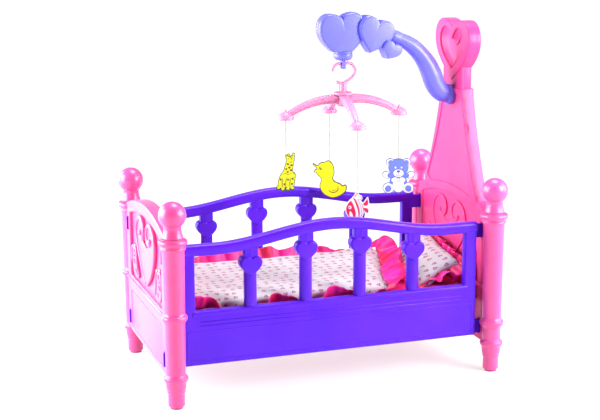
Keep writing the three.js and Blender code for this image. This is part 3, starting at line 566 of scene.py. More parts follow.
def boards():
    foot = board_shell(-BOARD_OUT, -BOARD_IN, DEEP, SHALLOW, PINK)
    claim(join("footboard_moulding", *foot), "footboard", "pale_pink_plastic")
    head = board_shell(BOARD_IN, BOARD_OUT, SHALLOW, DEEP, BOARD_PINK)
    outline = mirrored(tower_side(35, 391, 92, arch_at(92, ARCH_TOP) - 6, 12))
    inset = mirrored(tower_side(25.5, 383, 78, arch_at(78, ARCH_TOP) + 8, 11))
    inset += [(y, arch_at(y, ARCH_TOP) - 1) for y in np.linspace(-66, 66, 15)]
    neck = [(-31, 388), (31, 388), (31, 424), (9, 424), (0, 404), (-9, 424), (-31, 424)]
    for name, loops, front, back, bevel in (
        ("tower_rim", [outline, fillet(inset, 4, 3, True)], BOARD_IN - 0.8, BOARD_IN + 8.2, 1.8),
        ("tower_core", [outline], BOARD_IN + 0.7, BOARD_OUT - 1.5, 1.5),
        ("neck", [neck], BOARD_IN + 1.2, BOARD_IN + 6, 1.4),
        ("neck_back", [oblong(-31, 31, 388, 424, 3)], BOARD_IN + 4, BOARD_OUT - 3, 1.6),
        ("shoulder", [oblong(-35, 35, 386, 392.5, 2)], BOARD_IN - 0.2, BOARD_OUT - 1, 1.6),
    ):
        head.append(plate(name, loops, front, back, bevel, BOARD_PINK, "YZ"))
    claim(join("headboard_moulding", *head), "headboard", "pink_plastic")


def bowl_of(outline, front, centre):
    """The crest's heart-shaped bowl: drawn in from the outline by fixed distances, then scaled to its centre."""
    steps = [(-1.2, 12), (-1.2, 2.6), (0, 2.9), (0.8, 3.3), (1.8, 4.0), (3.2, 4.9), (5.0, 5.9), (7.2, 6.9), (9.6, 7.8)]
    rows = []
    for by, depth in steps:
        last = np.array([(y if y * side > 0 else 0, z) for (y, z), (side, _) in zip(shrunk(outline, by), outline)])
        rows.append([(front + depth, y, z) for y, z in last])
    for scale, depth in [(0.85, 8.3), (0.65, 8.8), (0.4, 9.2), (0.15, 9.3)]:
        rows.append([(front + depth, y, z) for y, z in centre + (last - centre) * scale])
    return loft("dish", [*rows, [(front + depth, *centre)]], BOARD_PINK, 55)


def crest():
    """The heart on the tower: a broad rounded rim round a heart-shaped bowl."""
    low, high = box_mm("heart_crest")
    front, back, foot = low[0], high[0], low[2]
    outline = heart_points(high[1] - low[1], high[2] - foot, 0, foot, steps=26)
    inner = heart_points(80, 60, 0, foot + 16, steps=26, notch=0.72)
    rim = plate("rim", [outline, inner], front, front + 14, 1.9, BOARD_PINK, "YZ", resolution=5)
    shell = plate("shell", [outline], front + 10.4, back, 2.2, BOARD_PINK, "YZ", resolution=4)
    dish = bowl_of(inner, front, np.array((0, foot + 50)))
    claim(join("heart_crest_bowl", rim, shell, dish), "heart_crest", "pink_plastic")


# --- side rails, drawn as the right one ---
def rail_top(x):
    u = abs(x - RAIL_MID) / RAIL_HUMP_HALF
    return RAIL_END_TOP + (RAIL_HUMP * math.cos(math.pi * u / 2) ** 2 if u < 1 else 0)


def rounded_bar(name, stations, height, y0, y1, radius):
    """A bar of rounded section through (x, top) stations."""
    section = oblong((y0 - y1) / 2, (y1 - y0) / 2, -height / 2, height / 2, radius)
    rows = [[(x, (y0 + y1) / 2 + u, top - height / 2 + v) for u, v in section] for x, top in stations]
    return loft(name, rows, PURPLE, ends=True)


def slat(x):
    """A half-round slat between the sill and the bar, with its heart and neck block."""
    top, tip = rail_top(x) - RAIL_BAR + 3, rail_top(x) - RAIL_BAR - 37
    section = [(SLAT_HALF * math.sin(a), -RAIL_OUT + 7.6 - 6.4 * math.cos(a)) for a in np.linspace(-1.5, 1.5, 17)]
    section += [(SLAT_HALF * math.sin(a), -RAIL_IN - 5.4 + 3.4 * math.cos(a)) for a in np.linspace(1.5, -1.5, 13)]
    levels = (SILL_Z - 3, SILL_Z + 20, (SILL_Z + top) / 2, top)
    depth = [(0, -RAIL_OUT - 0.8), (0.86, -RAIL_OUT - 0.8), (0.93, -RAIL_OUT - 0.4), (1, -RAIL_OUT + 1.4),
             (1, -RAIL_IN - 2.4), (0.93, -RAIL_IN - 1.2), (0.84, -RAIL_IN - 1), (0, -RAIL_IN - 0.9)]
    block = oblong(x - 9.6, x + 9.6, tip + 21, top, 1.5)
    return [loft("slat", [[(x + u, v, z) for u, v in section] for z in levels], PURPLE, ends=True),
            puffed("slat_heart", heart_points(31, 27, x, tip, steps=12), depth, PURPLE, (x, tip + 14)),
            plate("neck_block", [block], -RAIL_OUT + 1.6, -RAIL_IN - 2.5, 1.4, PURPLE)]


def rail(name):
    """One side rail: web with its stiles, bar, sill mouldings, slats and tabs."""
    xs = np.linspace(RAIL_X0, RAIL_X1, 90)
    x0, x1 = RAIL_MID - WINDOW_HALF, RAIL_MID + WINDOW_HALF
    web = [(RAIL_X0, 52), (RAIL_X1, 52), *[(x, rail_top(x) - 6) for x in reversed(xs)]]
    window = [(x0, SILL_Z), (x1, SILL_Z), *[(x, rail_top(x) - RAIL_BAR + 2) for x in np.linspace(x1, x0, 12)]]
    border = [oblong(RAIL_X0 + inset, RAIL_X1 - inset, 52 + inset, 105 - inset, r) for inset, r in ((5, 4), (7, 3))]
    parts = [
        plate("web", [web, fillet(window, 4, 4, True)], -RAIL_OUT + 0.8, -RAIL_IN - 3, 2.2, PURPLE),
        rounded_bar("bar", [(x, rail_top(x)) for x in xs], RAIL_BAR, -RAIL_OUT, -RAIL_IN, 5.5),
        rounded_bar("sill", [(x0 - 4, SILL_Z + 0.4), (x1 + 4, SILL_Z + 0.4)], 7, -RAIL_OUT - 0.4, -RAIL_IN - 2, 3),
        plate("panel_line", border, -RAIL_OUT + 0.4, -RAIL_OUT + 3, 0.5, PURPLE),
    ]
    for z in (112, 106.5):
        line = [(x, -RAIL_OUT + 0.9, z) for x in (x0 + 6, x1 - 6)]
        parts.append(tube("moulding", line, 0.8, PURPLE, 10))
    for k in (-1.5, -0.5, 0.5, 1.5):
        parts += slat(RAIL_MID + k * SLAT_GAP)
    for z in TAB_ZS:
        for start, end in ((-BOARD_OUT - 2.2, RAIL_X0 + 6), (RAIL_X1 - 6, BOARD_OUT - 0.4)):
            parts.append(plate("tab", [oblong(start, end, z, z + TAB_H, 1.5)], -TAB_OUT, -TAB_IN, 0.6, PURPLE))
    obj = join(f"{name}_moulding", *parts)
    if name.endswith("left"):
        obj.data.transform(Matrix.Scale(-1, 4, (0, 1, 0)))
        obj.data.flip_normals()
    claim(obj, name, "purple_plastic")


# --- arm and housings ---
ARM = ((112, 472), (120, 470), (128, 467.5), (142, 461.6), (156, 453.5), (169, 441.5), (180, 427), (188, 411),
       (194.5, 396), (204, 385.5), (BOARD_IN - 2, 381))
ARM_GIRTHS = [7.4, 7.6, 8.2, 9.6, 11, 12.2, 13.8, 15, 14.8, 14.2, 13.6]
SHELLS = {  # (scale, depth) from face to face
    "heart_front": [(0, -11.2), (0.9, -11.0), (0.955, -10.2), (0.985, -8.8), (1.0, -6.6), (1.0, -3), (1.0, -1.3),
                    (0.985, -1.15), (0, -1.15)],
    "heart_back": [(0, -0.85), (0.985, -0.85), (1.0, -0.7), (1.0, 6), (0.985, 9), (0.93, 11.2), (0.86, 12), (0, 12)],
}


def arm():
    path = spline([(x, 0, z) for x, z in ARM], 70)
    radii = list(np.interp(np.linspace(0, 1, 70), np.linspace(0, 1, len(ARM)), ARM_GIRTHS))
    root = [(BOARD_IN - back, 0, 381) for back in (5.5, 3.6, 1.2)]
    step = spline([(126, 0, 468.4), (131.5, 0, 466.4), (136, 0, 464.4)], 6)
    obj = join("mobile_arm_shell", tube("shell", path, radii, PERI, 40, 0.92), tube("root_ring", root, 14.6, PERI, 40),
               tube("sleeve", step, 9.5, PERI, 40, 0.92))
    claim(obj, "mobile_arm", "periwinkle_plastic")


def housings():
    cut = box_mm("heart_front")[0][2]
    big = heart_points(69, 66, SPIN_X - 1.5, 437, -3, steps=24)
    for name, profile in SHELLS.items():
        obj = puffed(f"{name}_shell", big, profile, PERI, (SPIN_X, 474), floor=cut)
        claim(obj, name, "periwinkle_plastic")
    for name, outline, middle, near, far in (
        ("heart_medium", heart_points(54, 50, 87, 446.8, 18, steps=22), (95, 474), -17.2, 9.5),
        ("heart_small", heart_points(29, 25, 112, 438, 28, steps=18), (119, 451), -22.2, 6),
    ):
        profile = [(0, near), (0.87, near + 0.1), (0.94, near + 0.9), (0.98, near + 2.4), (1, near + 4.6),
                   (1, near + 8), (1, far - 5), (0.97, far - 1.6), (0.9, far), (0, far)]
        claim(puffed(f"{name}_cover", outline, profile, PERI, middle), name, "periwinkle_plastic")
    low, high = heights("collar")
    profile = [(3.4, 0.4), (3.6, 0), (8, 0), (11.4, 1.2), (13.1, 3.4), (13.5, 5.5), (13.5, 9), (12.7, 9.5), (12.7, 10),
               (13.4, 10.4), (13.4, high - low), (3.4, high - low), (3.4, 0.4)]
    obj = lathe("collar_cup", [(r, low + z) for r, z in profile], PERI, (SPIN_X, 0), 64, 0.5)
    claim(obj, "collar", "periwinkle_plastic")


# --- mobile ---
def hook_and_hub():
    line = [(-16, 422.5), (-12.4, 429.5), (-6, 432.3), (0, 429), (6, 432.6), (13.5, 430.8), (18.5, 423), (15.5, 414.5),
            (8, 408.5), (1, 404.5)]
    wire = tube("wire", spline([(SPIN_X + x, 0, z) for x, z in line], 60), 2.05, PALE, 16)
    tab = tube("tab", [(SPIN_X + x, 0, z) for x, z in ((-9.5, 406.6), (-5, 405.2), (0, 403.6))], 2.1, PALE, 14)
    boss = lathe("boss", [(0, 399), (3.4, 399), (3.4, 404.6), (2.6, 406), (0, 406.2)], PALE, (SPIN_X, 0), 32)
    claim(join("heart_hook_wire", wire, tab, boss), "heart_hook", "pale_pink_plastic", "mobile")
    low, high = heights("mobile_hub")
    profile = [(0, low), (6.6, low), (8.6, low + 1.6), (9, low + 3), (9, 387), (10.4, 388.2), (12.6, 388.8),
               (12.9, 390), (12.6, 391.6), (7.4, 392.6), (5.6, 393.6), (5, 395.4), (4.9, high - 1.6),
               (4.2, high - 0.4), (3.8, high), (3.8, high - 3), (0, high - 3)]
    parts = [lathe("hub", profile, PALE, (SPIN_X, 0), 64, 0.5)]
    for a in turned(4):
        cos, sin = math.cos(a), math.sin(a)
        rib = [(SPIN_X + 4.9 * cos, 4.9 * sin, z) for z in (391.5, high - 2)]
        parts.append(tube("rib", rib, 0.9, PALE, 10, normal=(sin, -cos, 0)))
    claim(join("mobile_hub_turned", *parts), "mobile_hub", "pale_pink_plastic", "mobile")


def branch(figure):
    """An arching arm from the hub to its cap, with the flat lip that runs along its underside."""
    across = CAP_AT[figure] - (SPIN_X, 0)
    reach, out = np.linalg.norm(across), unit(across)
    lift = box_mm(f"cap_{figure}")[0][2] - 353.5
    arch = np.array(((8.6, 382.8), (44, 383.4 + lift / 2), (reach - 6, 361.6 + lift)))
    path = [(SPIN_X + out[0] * r, out[1] * r, z) for r, z in (bezier(arch, i / 24) for i in range(25))]
    radii, side = list(np.linspace(6.0, 4.4, 25)), (-out[1], out[0], 0)
    lip = [(x, y, z - 0.8 * r) for (x, y, z), r in zip(path, radii)]
    obj = join(f"branch_{figure}_arch", tube("bar", path, radii, PALE, 24, 1.14, side),
               tube("lip", lip, [r * 0.45 for r in radii], PALE, 16, 2.2, side))
    claim(obj, f"branch_{figure}", "pale_pink_plastic", "mobile")


def cap(figure):
    low, high = box_mm(f"cap_{figure}")
    base, top, wide = low[2], high[2], (high[0] - low[0]) / 2
    profile = [(0, base + 1.6), (wide - 2, base + 1.6), (wide - 1.6, base), (wide - 0.6, base), (wide, base + 0.9),
               (wide - 0.2, base + 2.2), (wide * 0.89, base + 4.8), (wide * 0.72, base + 7.6),
               (wide * 0.47, base + 9.6), (wide * 0.25, base + 10.4), (1.8, base + 10.8), (1.6, top - 1), (0.9, top),
               (0, top)]
    obj = lathe(f"cap_{figure}_dome", profile, PALE, CAP_AT[figure], 56, 0.7)
    claim(obj, f"cap_{figure}", "pale_pink_plastic", "mobile")


def hanging_string(figure):
    """A thread pulled straight by the figure, along the CAD's own route."""
    x, y = CAP_AT[figure]
    low, high = heights(f"string_{figure}")
    curve = bpy.data.curves.new(f"string_{figure}_thread", "CURVE")
    curve.dimensions = "3D"
    curve.bevel_depth = 0.45 * MM
    curve.bevel_resolution = 2
    route = curve.splines.new("POLY")
    route.points.add(15)
    for i, point in enumerate(route.points):
        point.co = (x * MM, y * MM, (high + (low - high) * i / 15) * MM, 1)
    curve.materials.append(THREAD)
    obj = place_in_scene(f"string_{figure}_thread", curve)
    claim(obj, f"string_{figure}", "string", f"string_{figure}")


# --- hanging figures, drawn as (x, z) from the string's lower end ---
def oval(x, z, rx, rz=None, turn=0.0):
    c, s = math.cos(math.radians(turn)), math.sin(math.radians(turn))
    ring = [(rx * math.cos(a), (rz or rx) * math.sin(a)) for a in turned(28)]
    return [(x + c * p - s * q, z + s * p + c * q) for p, q in ring]


def ovals(*rows):
    return [oval(*row) for row in rows]


def stroke(width, *points, samples=24):
    """A thin printed line, tapered at both ends and round at the far one."""
    line = spline(points, samples)
    along = np.interp(np.arange(samples) / (samples - 1), np.linspace(0, 1, 4), (0.2, 0.5, 0.5, 0.2)) * width
    left, right = [], []
    for i, (point, half) in enumerate(zip(line, along)):
        t = unit(line[min(i + 1, samples - 1)] - line[max(i - 1, 0)])
        n = np.array((-t[1], t[0]))
        left.append(point + n * half)
        right.append(point - n * half)
    cap = [line[-1] + along[-1] * (math.cos(a) * n + math.sin(a) * t) for a in np.linspace(0, math.pi, 9)[1:-1]]
    return [*left, *cap, *reversed(right)]


def smooth(*points):
    return spline(points, 9 * len(points), True)


def both(*shapes):
    """Shapes and their mirror images in x."""
    return [*shapes, *[[(-x, z) for x, z in shape] for shape in shapes]]


def hanging_figure(figure, turn, layers):
    """A flat printed cut-out: each layer is a little thicker than the last, so it shows on both faces."""
    parts = []
    for i, (material, shapes) in enumerate(layers):
        for k, shape in enumerate(shapes):
            half = 1.3 + 0.14 * i + 0.004 * k
            parts.append(plate("layer", [shape], -half, half, 0.12 if i else 0.35, material, resolution=1))
    obj = join(f"figure_{figure}_print", *parts)
    at = Vector((*CAP_AT[figure], box_mm(f"string_{figure}")[0][2] - 0.3)) * MM
    obj.data.transform(Matrix.Translation(at) @ Matrix.Rotation(math.radians(turn), 4, "Z"))
    claim(obj, f"figure_{figure}", f"{figure}_print", f"figure_{figure}")


DUCK = spline([
    (-4.6, -1.6), (-1.2, -0.4), (2.6, -2.6), (5.6, -7), (7.4, -13), (7.6, -20), (5.6, -27.5), (9, -32), (16, -34.8),
    (20.4, -38), (23.8, -36.4), (26.2, -39.5), (25.6, -45.5), (21.4, -50.5), (14, -55), (5.5, -57.2), (-3, -55),
    (-9.8, -50), (-13.8, -43), (-14.2, -36.5), (-12, -30.5), (-13.5, -26.5), (-17.5, -22.8), (-20, -18.8),
    (-23.2, -18.6), (-22.6, -15.6), (-19, -13), (-21.8, -10.2), (-25, -6.2), (-22.6, -5.4), (-18, -8.4), (-15.5, -5.6),
    (-11.6, -3.4), (-7.4, -3)], 200, True)
FISH = smooth((-6, -9.6), (-12.5, -15), (-16.2, -23), (-15.6, -31), (-11, -38), (-3, -42), (5, -38.5), (9.6, -30),
              (9, -20), (4, -12.5), (-1, -9.6))
FIN = smooth((-7, -11), (-4.2, -6), (-1.2, -1), (0.8, -0.6), (2.4, -5), (6.4, -7.4), (5.4, -13))
TAIL = (smooth((7, -19), (10.4, -13.5), (14.2, -8.6), (15.6, -12), (16, -18.5), (12, -21.8)),
        smooth((7, -24), (12.6, -22.6), (16.4, -26), (15.4, -31), (11.4, -30)))
STRIPES = (
    smooth((-8.6, -12.6), (-5.4, -11.2), (-1.4, -20), (1.4, -30), (1.2, -39), (-1.8, -40), (-2.2, -30), (-5, -20)),
    smooth((-2.6, -10.8), (-0.4, -11), (3.6, -19), (5.4, -28), (4.8, -36.4), (2.8, -38), (3.2, -29), (1, -19)),
    smooth((1.4, -11.8), (3, -12.8), (6.6, -20), (7.8, -27), (7.2, -32), (6, -33), (5.8, -27), (4.6, -20)))
GIRAFFE = smooth(
    (-11.6, -46), (-11.4, -38), (-8.2, -29.5), (-4, -23.5), (-1.4, -15), (0.4, -8), (-1, -4), (-0.6, -0.6),
    (2.6, -1.4), (5, -2.6), (8, -1.6), (10.6, 0.2), (12.2, -2), (12.2, -8), (10.6, -16), (9.6, -24), (12.6, -27),
    (13.8, -31), (12.8, -38), (11.4, -46), (6, -49), (0, -48), (-6, -49.6))
PRINTS = {  # how far each figure is turned from the crib's length, then its layers from the back of the print up
    "duck": (-25, [
        (DARK_OLIVE, [DUCK]),
        (YELLOW, [shrunk(DUCK, 1.3)]),
        (DARK_OLIVE, [
            oval(-12.6, -12, 2.3, 2.8), stroke(0.8, (-18, -13), (-16.4, -14.4), (-15.4, -16.8)),
            stroke(1.1, (-1.5, -44.5), (1.5, -47.6), (6.6, -48.8), (11, -46.8), (13.4, -43), (12, -39.8)),
            stroke(0.7, (2, -45), (6, -46), (9.6, -43.6)), stroke(0.6, (-9.6, -16.4), (-7.6, -18), (-7.6, -20))]),
        (YELLOW, [oval(-12.3, -11.8, 1.5, 1.9)]),
        (DARK_OLIVE, [oval(-12.7, -12.3, 0.9, 1.2)]),
    ]),
    "bear": (-19, [
        (BLUE_INK, both(*ovals((-12, -5.4, 6, 5.8), (-17, -24, 6.4, 5, -30), (-14, -43.2, 8.8, 8)))
         + ovals((0, -13, 14.6, 13), (0, -35.5, 12.8, 15))),
        (PAPER, both(*ovals((-12, -5.4, 5.2, 5), (-17, -24, 5.6, 4.2, -30), (-14, -43.2, 8, 7.2)))),
        (PRINT_BLUE, ovals((0, -13, 14, 12.4), (0, -35, 12, 13.6))
         + both(*ovals((-11, -6, 4, 4), (-11.5, -25, 4.4, 3.6, -20)))),
        (BLUE_INK, ovals((0, -39.6, 9.2, 10.6), (0, -21.4, 8.2, 6.2)) + both(oval(-5.4, -31, 5.6, 4.2, 12))),
        (PAPER, ovals((0, -39.6, 8.5, 9.9), (0, -21.4, 7.5, 5.5))
         + both(*ovals((-5.4, -31, 4.9, 3.5, 12), (-4.4, -13.2, 1.3, 1.5))) + both(oval(-14, -43.4, 7.4, 6.6))),
        (BLUE_INK, [
            oval(0, -18.7, 2.6, 1.8), stroke(0.6, (0, -20), (0, -22), (0.2, -24.2)), oval(0, -31, 2.6, 2.8),
            *both(stroke(0.6, (-0.4, -24.2), (-2, -25), (-3.6, -24)), oval(-14.6, -43.8, 4.4, 4.9, -25))]),
        (PRINT_BLUE, both(oval(-14.6, -43.8, 3.7, 4.2, -25))),
        (PAPER, [oval(0, -31, 1.9, 2.1)]),
    ]),
    "fish": (-19, [
        (PAPER, [FISH, FIN, *TAIL, oval(8.5, -23, 4, 6)]),
        (RED, [shrunk(FISH, 1.3), shrunk(FIN, 0.9), *(shrunk(fin, 1.1) for fin in TAIL)]),
        (PAPER, [*STRIPES, shrunk(FIN, 1.7), oval(-10.2, -22.8, 2.1, 2.4),
                 smooth((-9.6, -28), (-6.4, -33), (-6, -37.6), (-8.8, -37), (-10.8, -33))]),
        (RED, [stroke(0.6, (-2.4, -12), (1.2, -20), (3.2, -30), (2.6, -37)), oval(-10.4, -22.8, 1, 1.2),
               stroke(0.6, (-3.4, -9), (-1, -5), (0.6, -2.4))]),
    ]),
    "giraffe": (-19, [
        (DARK_OLIVE, [GIRAFFE, *ovals((3.8, -1, 2.2, 2), (10.4, 0.2, 2.3, 2), (-10.9, -48.4, 3.6, 3.4),
                                      (-4.6, -50.6, 3.6, 3.2), (2.4, -50.2, 3.4, 3), (8.8, -49.2, 3.4, 3))]),
        (OLIVE, [shrunk(GIRAFFE, 1.0), *ovals((3.8, -1, 1.4, 1.3), (10.4, 0.2, 1.4, 1.3), (-10.6, -47.6, 2.5, 2.2),
                                              (-4.6, -49.6, 2.5, 2), (2.4, -49.2, 2.3, 1.9), (8.8, -48.2, 2.3, 1.9))]),
        (DARK_OLIVE, [
            stroke(0.7, (-4.4, -34), (-5.6, -40), (-5, -47.6)), stroke(0.7, (1, -33), (-0.6, -40), (-0.6, -47.6)),
            stroke(0.7, (6.4, -34), (5.4, -40), (5.6, -47.4)),
            stroke(0.7, (-7, -30), (-2, -27.6), (3.4, -28.6), (8.4, -27)),
            oval(4, -6.4, 0.8), oval(8.4, -6, 0.8), stroke(0.6, (4, -10.4), (6.4, -11.4), (8.8, -10.2))]),
        (SPOT, ovals((2.6, -14, 1.6, 1.3), (7.8, -15.6, 1.7, 1.4), (4.8, -18.8, 1.8, 1.4), (0.2, -21, 1.5, 1.3),
                     (7, -22.6, 1.6, 1.4), (2.4, -25.2, 1.7, 1.3), (6.4, -3.8, 1.1, 0.9), (-7.8, -36, 1.2, 1.6),
                     (9.4, -35, 1.4, 1.8), (2.8, -36.4, 1.3, 1.7), (-2.4, -43, 1.1, 1.6), (8.4, -42.4, 1.2, 1.6))),
    ]),
}


# --- bedding ---
QUILT_FOOT, QUILT_SIDE, QUILT_BOTTOM = -208, 96, 119.4
PILLOW_HALF, PILLOW_SWELL = (36, 74), 12.5
PILLOW_PLACE = (Matrix.Translation((176 * MM, -8 * MM, 139 * MM)) @ Matrix.Rotation(math.radians(-6), 4, "Z")
                @ Matrix.Rotation(math.radians(4), 4, "X") @ Matrix.Rotation(math.radians(-29), 4, "Y"))
CLOTH_FRAMES = 20
SEAM_STEP = 1.6  # between a ruffle's rows


def rough_noise(x, y, scale, seed=0.0):
    """Smooth noise in -1..1 at a wavelength of about scale."""
    return noise(Vector((x / scale + seed, y / scale - seed, 3.7 * seed)))


def quilt_head(y):
    """The x of the quilt's askew head edge."""
    return 118 + 0.29 * y + 3 * math.sin(y / 31)


def quilt_top(x, y):
    """Height of the quilt's upper face, with its folds, before its edge is rounded."""
    rise = 134.5 + 1.2 * math.sin(x / 47) + 0.8 * math.sin(y / 23 + x / 90)
    rise += 4.2 * math.exp(-(((y - 80 + 5 * math.sin(x / 60)) / 13) ** 2))
    rise += 5.5 * math.exp(-(((x - 118) / 34) ** 2) - (((y - 74) / 26) ** 2))
    rise += 2.2 * math.exp(-(((y + 30 - 0.5 * x) / 9) ** 2)) * math.exp(-(((x - 40) / 70) ** 2))
    rise += 1.8 * math.exp(-(((y - 18 + 0.28 * x) / 7) ** 2)) * math.exp(-(((x + 120) / 60) ** 2))
    return rise + 1.3 * rough_noise(x, y * 1.6, 30, 0.3) + 0.6 * rough_noise(x, y, 11, 1.3)


def pillow_plan(u, v):
    """A rectangle whose sides pull in between its corners."""
    p, q = 2 * u - 1, 2 * v - 1
    return PILLOW_HALF[0] * p * (0.92 + 0.08 * q * q), PILLOW_HALF[1] * q * (0.95 + 0.05 * p * p)


def padded_sheet(name, corner, top, bottom, nx, ny, edge, material, seam=lambda v: 0.42):
    """A stuffed sheet: corner(u, v) gives x, y; its rim is rounded over the edge width, down to the seam's height."""
    verts, faces, grid = [], [], {}
    for face in (0, 1):
        for i in range(nx + 1):
            for j in range(ny + 1):
                x, y = corner(i / nx, j / ny)
                rim = min(i, nx - i) * edge[0] / nx, min(j, ny - j) * edge[1] / ny
                swell = math.prod(min(1.0, r) ** 0.42 for r in rim)
                middle = bottom + (top(x, y) - bottom) * seam(j / ny)
                if min(rim) == 0 and face:
                    grid[1, i, j] = grid[0, i, j]
                    continue
                grid[face, i, j] = len(verts)
                z = middle + (top(x, y) - middle) * swell if face else middle - (middle - bottom) * swell
                verts.append((x, y, z))
        for i in range(nx):
            for j in range(ny):
                ring = (grid[face, i, j], grid[face, i + 1, j], grid[face, i + 1, j + 1], grid[face, i, j + 1])
                faces.append(ring if face else ring[::-1])
    return make(name, verts, faces, material, 180)


def stuff(obj, voxel, cap, pressure=4.0):
    """Swells the piece as cloth under inner pressure, holds each point near where it began, and smooths it once."""
    scene = bpy.context.scene
    bpy.context.view_layer.objects.active = obj
    remesh = obj.modifiers.new("remesh", "REMESH")
    remesh.mode = "VOXEL"
    remesh.voxel_size = voxel * MM
    bpy.ops.object.modifier_apply(modifier="remesh")
    start = np.array([v.co[:] for v in obj.data.vertices])
    cloth = obj.modifiers.new("cloth", "CLOTH")
    cloth.settings.use_pressure = True
    cloth.settings.uniform_pressure_force = pressure
    cloth.settings.effector_weights.gravity = 0
    cloth.settings.quality = 4
    cloth.point_cache.frame_start = 1
    cloth.point_cache.frame_end = CLOTH_FRAMES
    for number in range(1, CLOTH_FRAMES + 1):
        scene.frame_set(number)
    swollen = obj.evaluated_get(bpy.context.evaluated_depsgraph_get())
    travel = np.array([v.co[:] for v in swollen.to_mesh().vertices]) - start
    swollen.to_mesh_clear()
    obj.modifiers.remove(cloth)
    scene.frame_set(1)
    length = np.linalg.norm(travel, axis=1)[:, None]
    travel *= np.minimum(1, cap * MM / np.maximum(length, 1e-9))
    for vertex, place in zip(obj.data.vertices, start + travel):
        vertex.co = place
    smooth_once = obj.modifiers.new("smooth", "SUBSURF")
    smooth_once.levels = smooth_once.render_levels = 1
    bpy.ops.object.modifier_apply(modifier="smooth")
    obj.data.materials.clear()
    obj.data.materials.append(COTTON)
    obj.data.shade_smooth()


def ruffle(name, stations, pleat, depth, rows, seed):
    """A gathered strip round a closed seam. Each station is the seam point, the way the strip falls from it, its
    width and how deep its pleats are."""
    rng = random.Random(seed)
    data = np.array([[*p, *unit(np.array(f)), w, a] for p, f, w, a in stations], float)
    data = np.vstack((data[-1:], data, data[:2]))
    line = []
    for a, b, c, d in zip(data, data[1:], data[2:], data[3:]):
        count = max(2, int(np.linalg.norm(c[:3] - b[:3]) / SEAM_STEP))
        line += [catmull(a, b, c, d, i / count) for i in range(count)]
    line = np.array(line)
    count, seam = len(line), line[:, :3]
    steps = np.linalg.norm(np.roll(seam, -1, 0) - seam, axis=1) / (pleat * (0.8 + 0.25 * line[:, 7]))
    turns = round(steps.sum())
    phases = np.cumsum([0, *steps[:-1]]) * turns / steps.sum()
    jitter = [rng.uniform(-0.9, 0.9) for _ in range(turns)]
    size = [rng.uniform(0.6, 1.25) for _ in range(turns)]
    verts = []
    for i, phase in enumerate(phases):
        k, t = int(phase) % turns, phase - int(phase)
        ease = t * t * (3 - 2 * t)
        twist, big = (kind[k] * (1 - ease) + kind[(k + 1) % turns] * ease for kind in (jitter, size))
        angle = 2 * math.pi * phase + twist
        tangent, fall = unit(seam[(i + 1) % count] - seam[i - 1]), unit(line[i, 3:6])
        side = np.cross(tangent, fall)
        width, swing = line[i, 6], line[i, 7] * depth * big
        wave = 1.15 * math.tanh(1.9 * math.sin(angle)) + 0.22 * math.sin(2 * angle + 1.3)
        for r in (j / (rows - 1) for j in range(rows)):
            open_out = 0.22 + 0.78 * r**0.8
            reach = width * r * (1 + 0.08 * math.sin(angle * 0.5 + 2 * twist))
            point = seam[i] + fall * reach + side * (wave * swing * open_out)
            point += tangent * (math.cos(angle) * swing * (0.3 + 0.45 * line[i, 7]) * open_out)
            verts.append(point)
    faces = []
    for i in range(count):
        a, b = i * rows, (i + 1) % count * rows
        faces += [(a + j, b + j, b + j + 1, a + j + 1) for j in range(rows - 1)]
    obj = make(name, verts, faces, SATIN, 180)
    thin = obj.modifiers.new("thickness", "SOLIDIFY")
    thin.thickness = 0.5 * MM
    thin.offset = 0
    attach(obj, "crib")
    return obj


def bedding():
    low, high = box_mm("mattress")
    pad = padded_sheet("mattress_pad", lambda u, v: (low[0] + 1 + u * (high[0] - low[0] - 2), -100 + 200 * v),
                       lambda x, y: 118.2 + 0.5 * rough_noise(x, y, 40, 5), low[2] + 0.6, 100, 50, (26, 14), SATIN)

    def quilt_plan(u, v):
        y = 2 * QUILT_SIDE * v - QUILT_SIDE
        return QUILT_FOOT + u * (quilt_head(y) - QUILT_FOOT), y

    quilt = padded_sheet("quilt_pad", quilt_plan, quilt_top, QUILT_BOTTOM, 120, 68, (22, 14), COTTON,
                         lambda v: 0.42 - 0.3 * max(0, 1 - 5 * v))
    stuff(quilt, 5, 2.5)
    pillow = padded_sheet("pillow_pad", pillow_plan, lambda x, y: PILLOW_SWELL, -PILLOW_SWELL, 44, 70, (9, 11), COTTON)
    stuff(pillow, 4.5, 5)
    pillow.data.transform(PILLOW_PLACE)
    for obj, name, slot, fill in ((pad, "mattress", "satin_ruffle", 0.8), (quilt, "quilt", "printed_cotton", 0.35),
                                  (pillow, "pillow", "printed_cotton", 0.6)):
        claim(obj, name, slot)
    strip = ruffle("quilt_ruffle", quilt_seam(), 32, 5.4, 9, seed=4)
    strip = ruffle("pillow_ruffle", pillow_seam(), 18, 4.4, 8, seed=9)


def pillow_seam(count=44):
    """Stations round the pillow's rim, carried to where it lies."""
    stations = []
    for angle in turned(count):
        c, s = math.cos(angle), math.sin(angle)
        k = 0.49 / max(abs(c), abs(s))
        x, y = pillow_plan(0.5 + c * k, 0.5 + s * k)
        place = [v / MM for v in PILLOW_PLACE @ Vector((x * MM, y * MM, -1 * MM))]
        out = Vector((c * abs(c) ** 0.6 * 1.2, s * abs(s) ** 0.6, 0)).normalized()
        fall, width = PILLOW_PLACE.to_3x3() @ out, 15.0
        if fall.x > 0.3 and BOARD_IN - 6 - place[0] < width:  # turned up where the headboard is near
            fall, width = Vector((0.25, fall.y, 0.8)).normalized(), 11.0
        near = max(0.0, -out.y - 0.4) / 0.6  # wider, and hanging down, on the near side
        fall = Vector((fall.x, fall.y * (1 - 0.4 * near), fall.z - 0.95 * near)).normalized()
        width += 6 * near
        if place[2] + fall.z * width < BED_TOP:
            fall = Vector((fall.x, fall.y, max(0.0, (BED_TOP - place[2]) / width))).normalized()
        stations.append((place, tuple(fall), width, 1.0))
    return stations


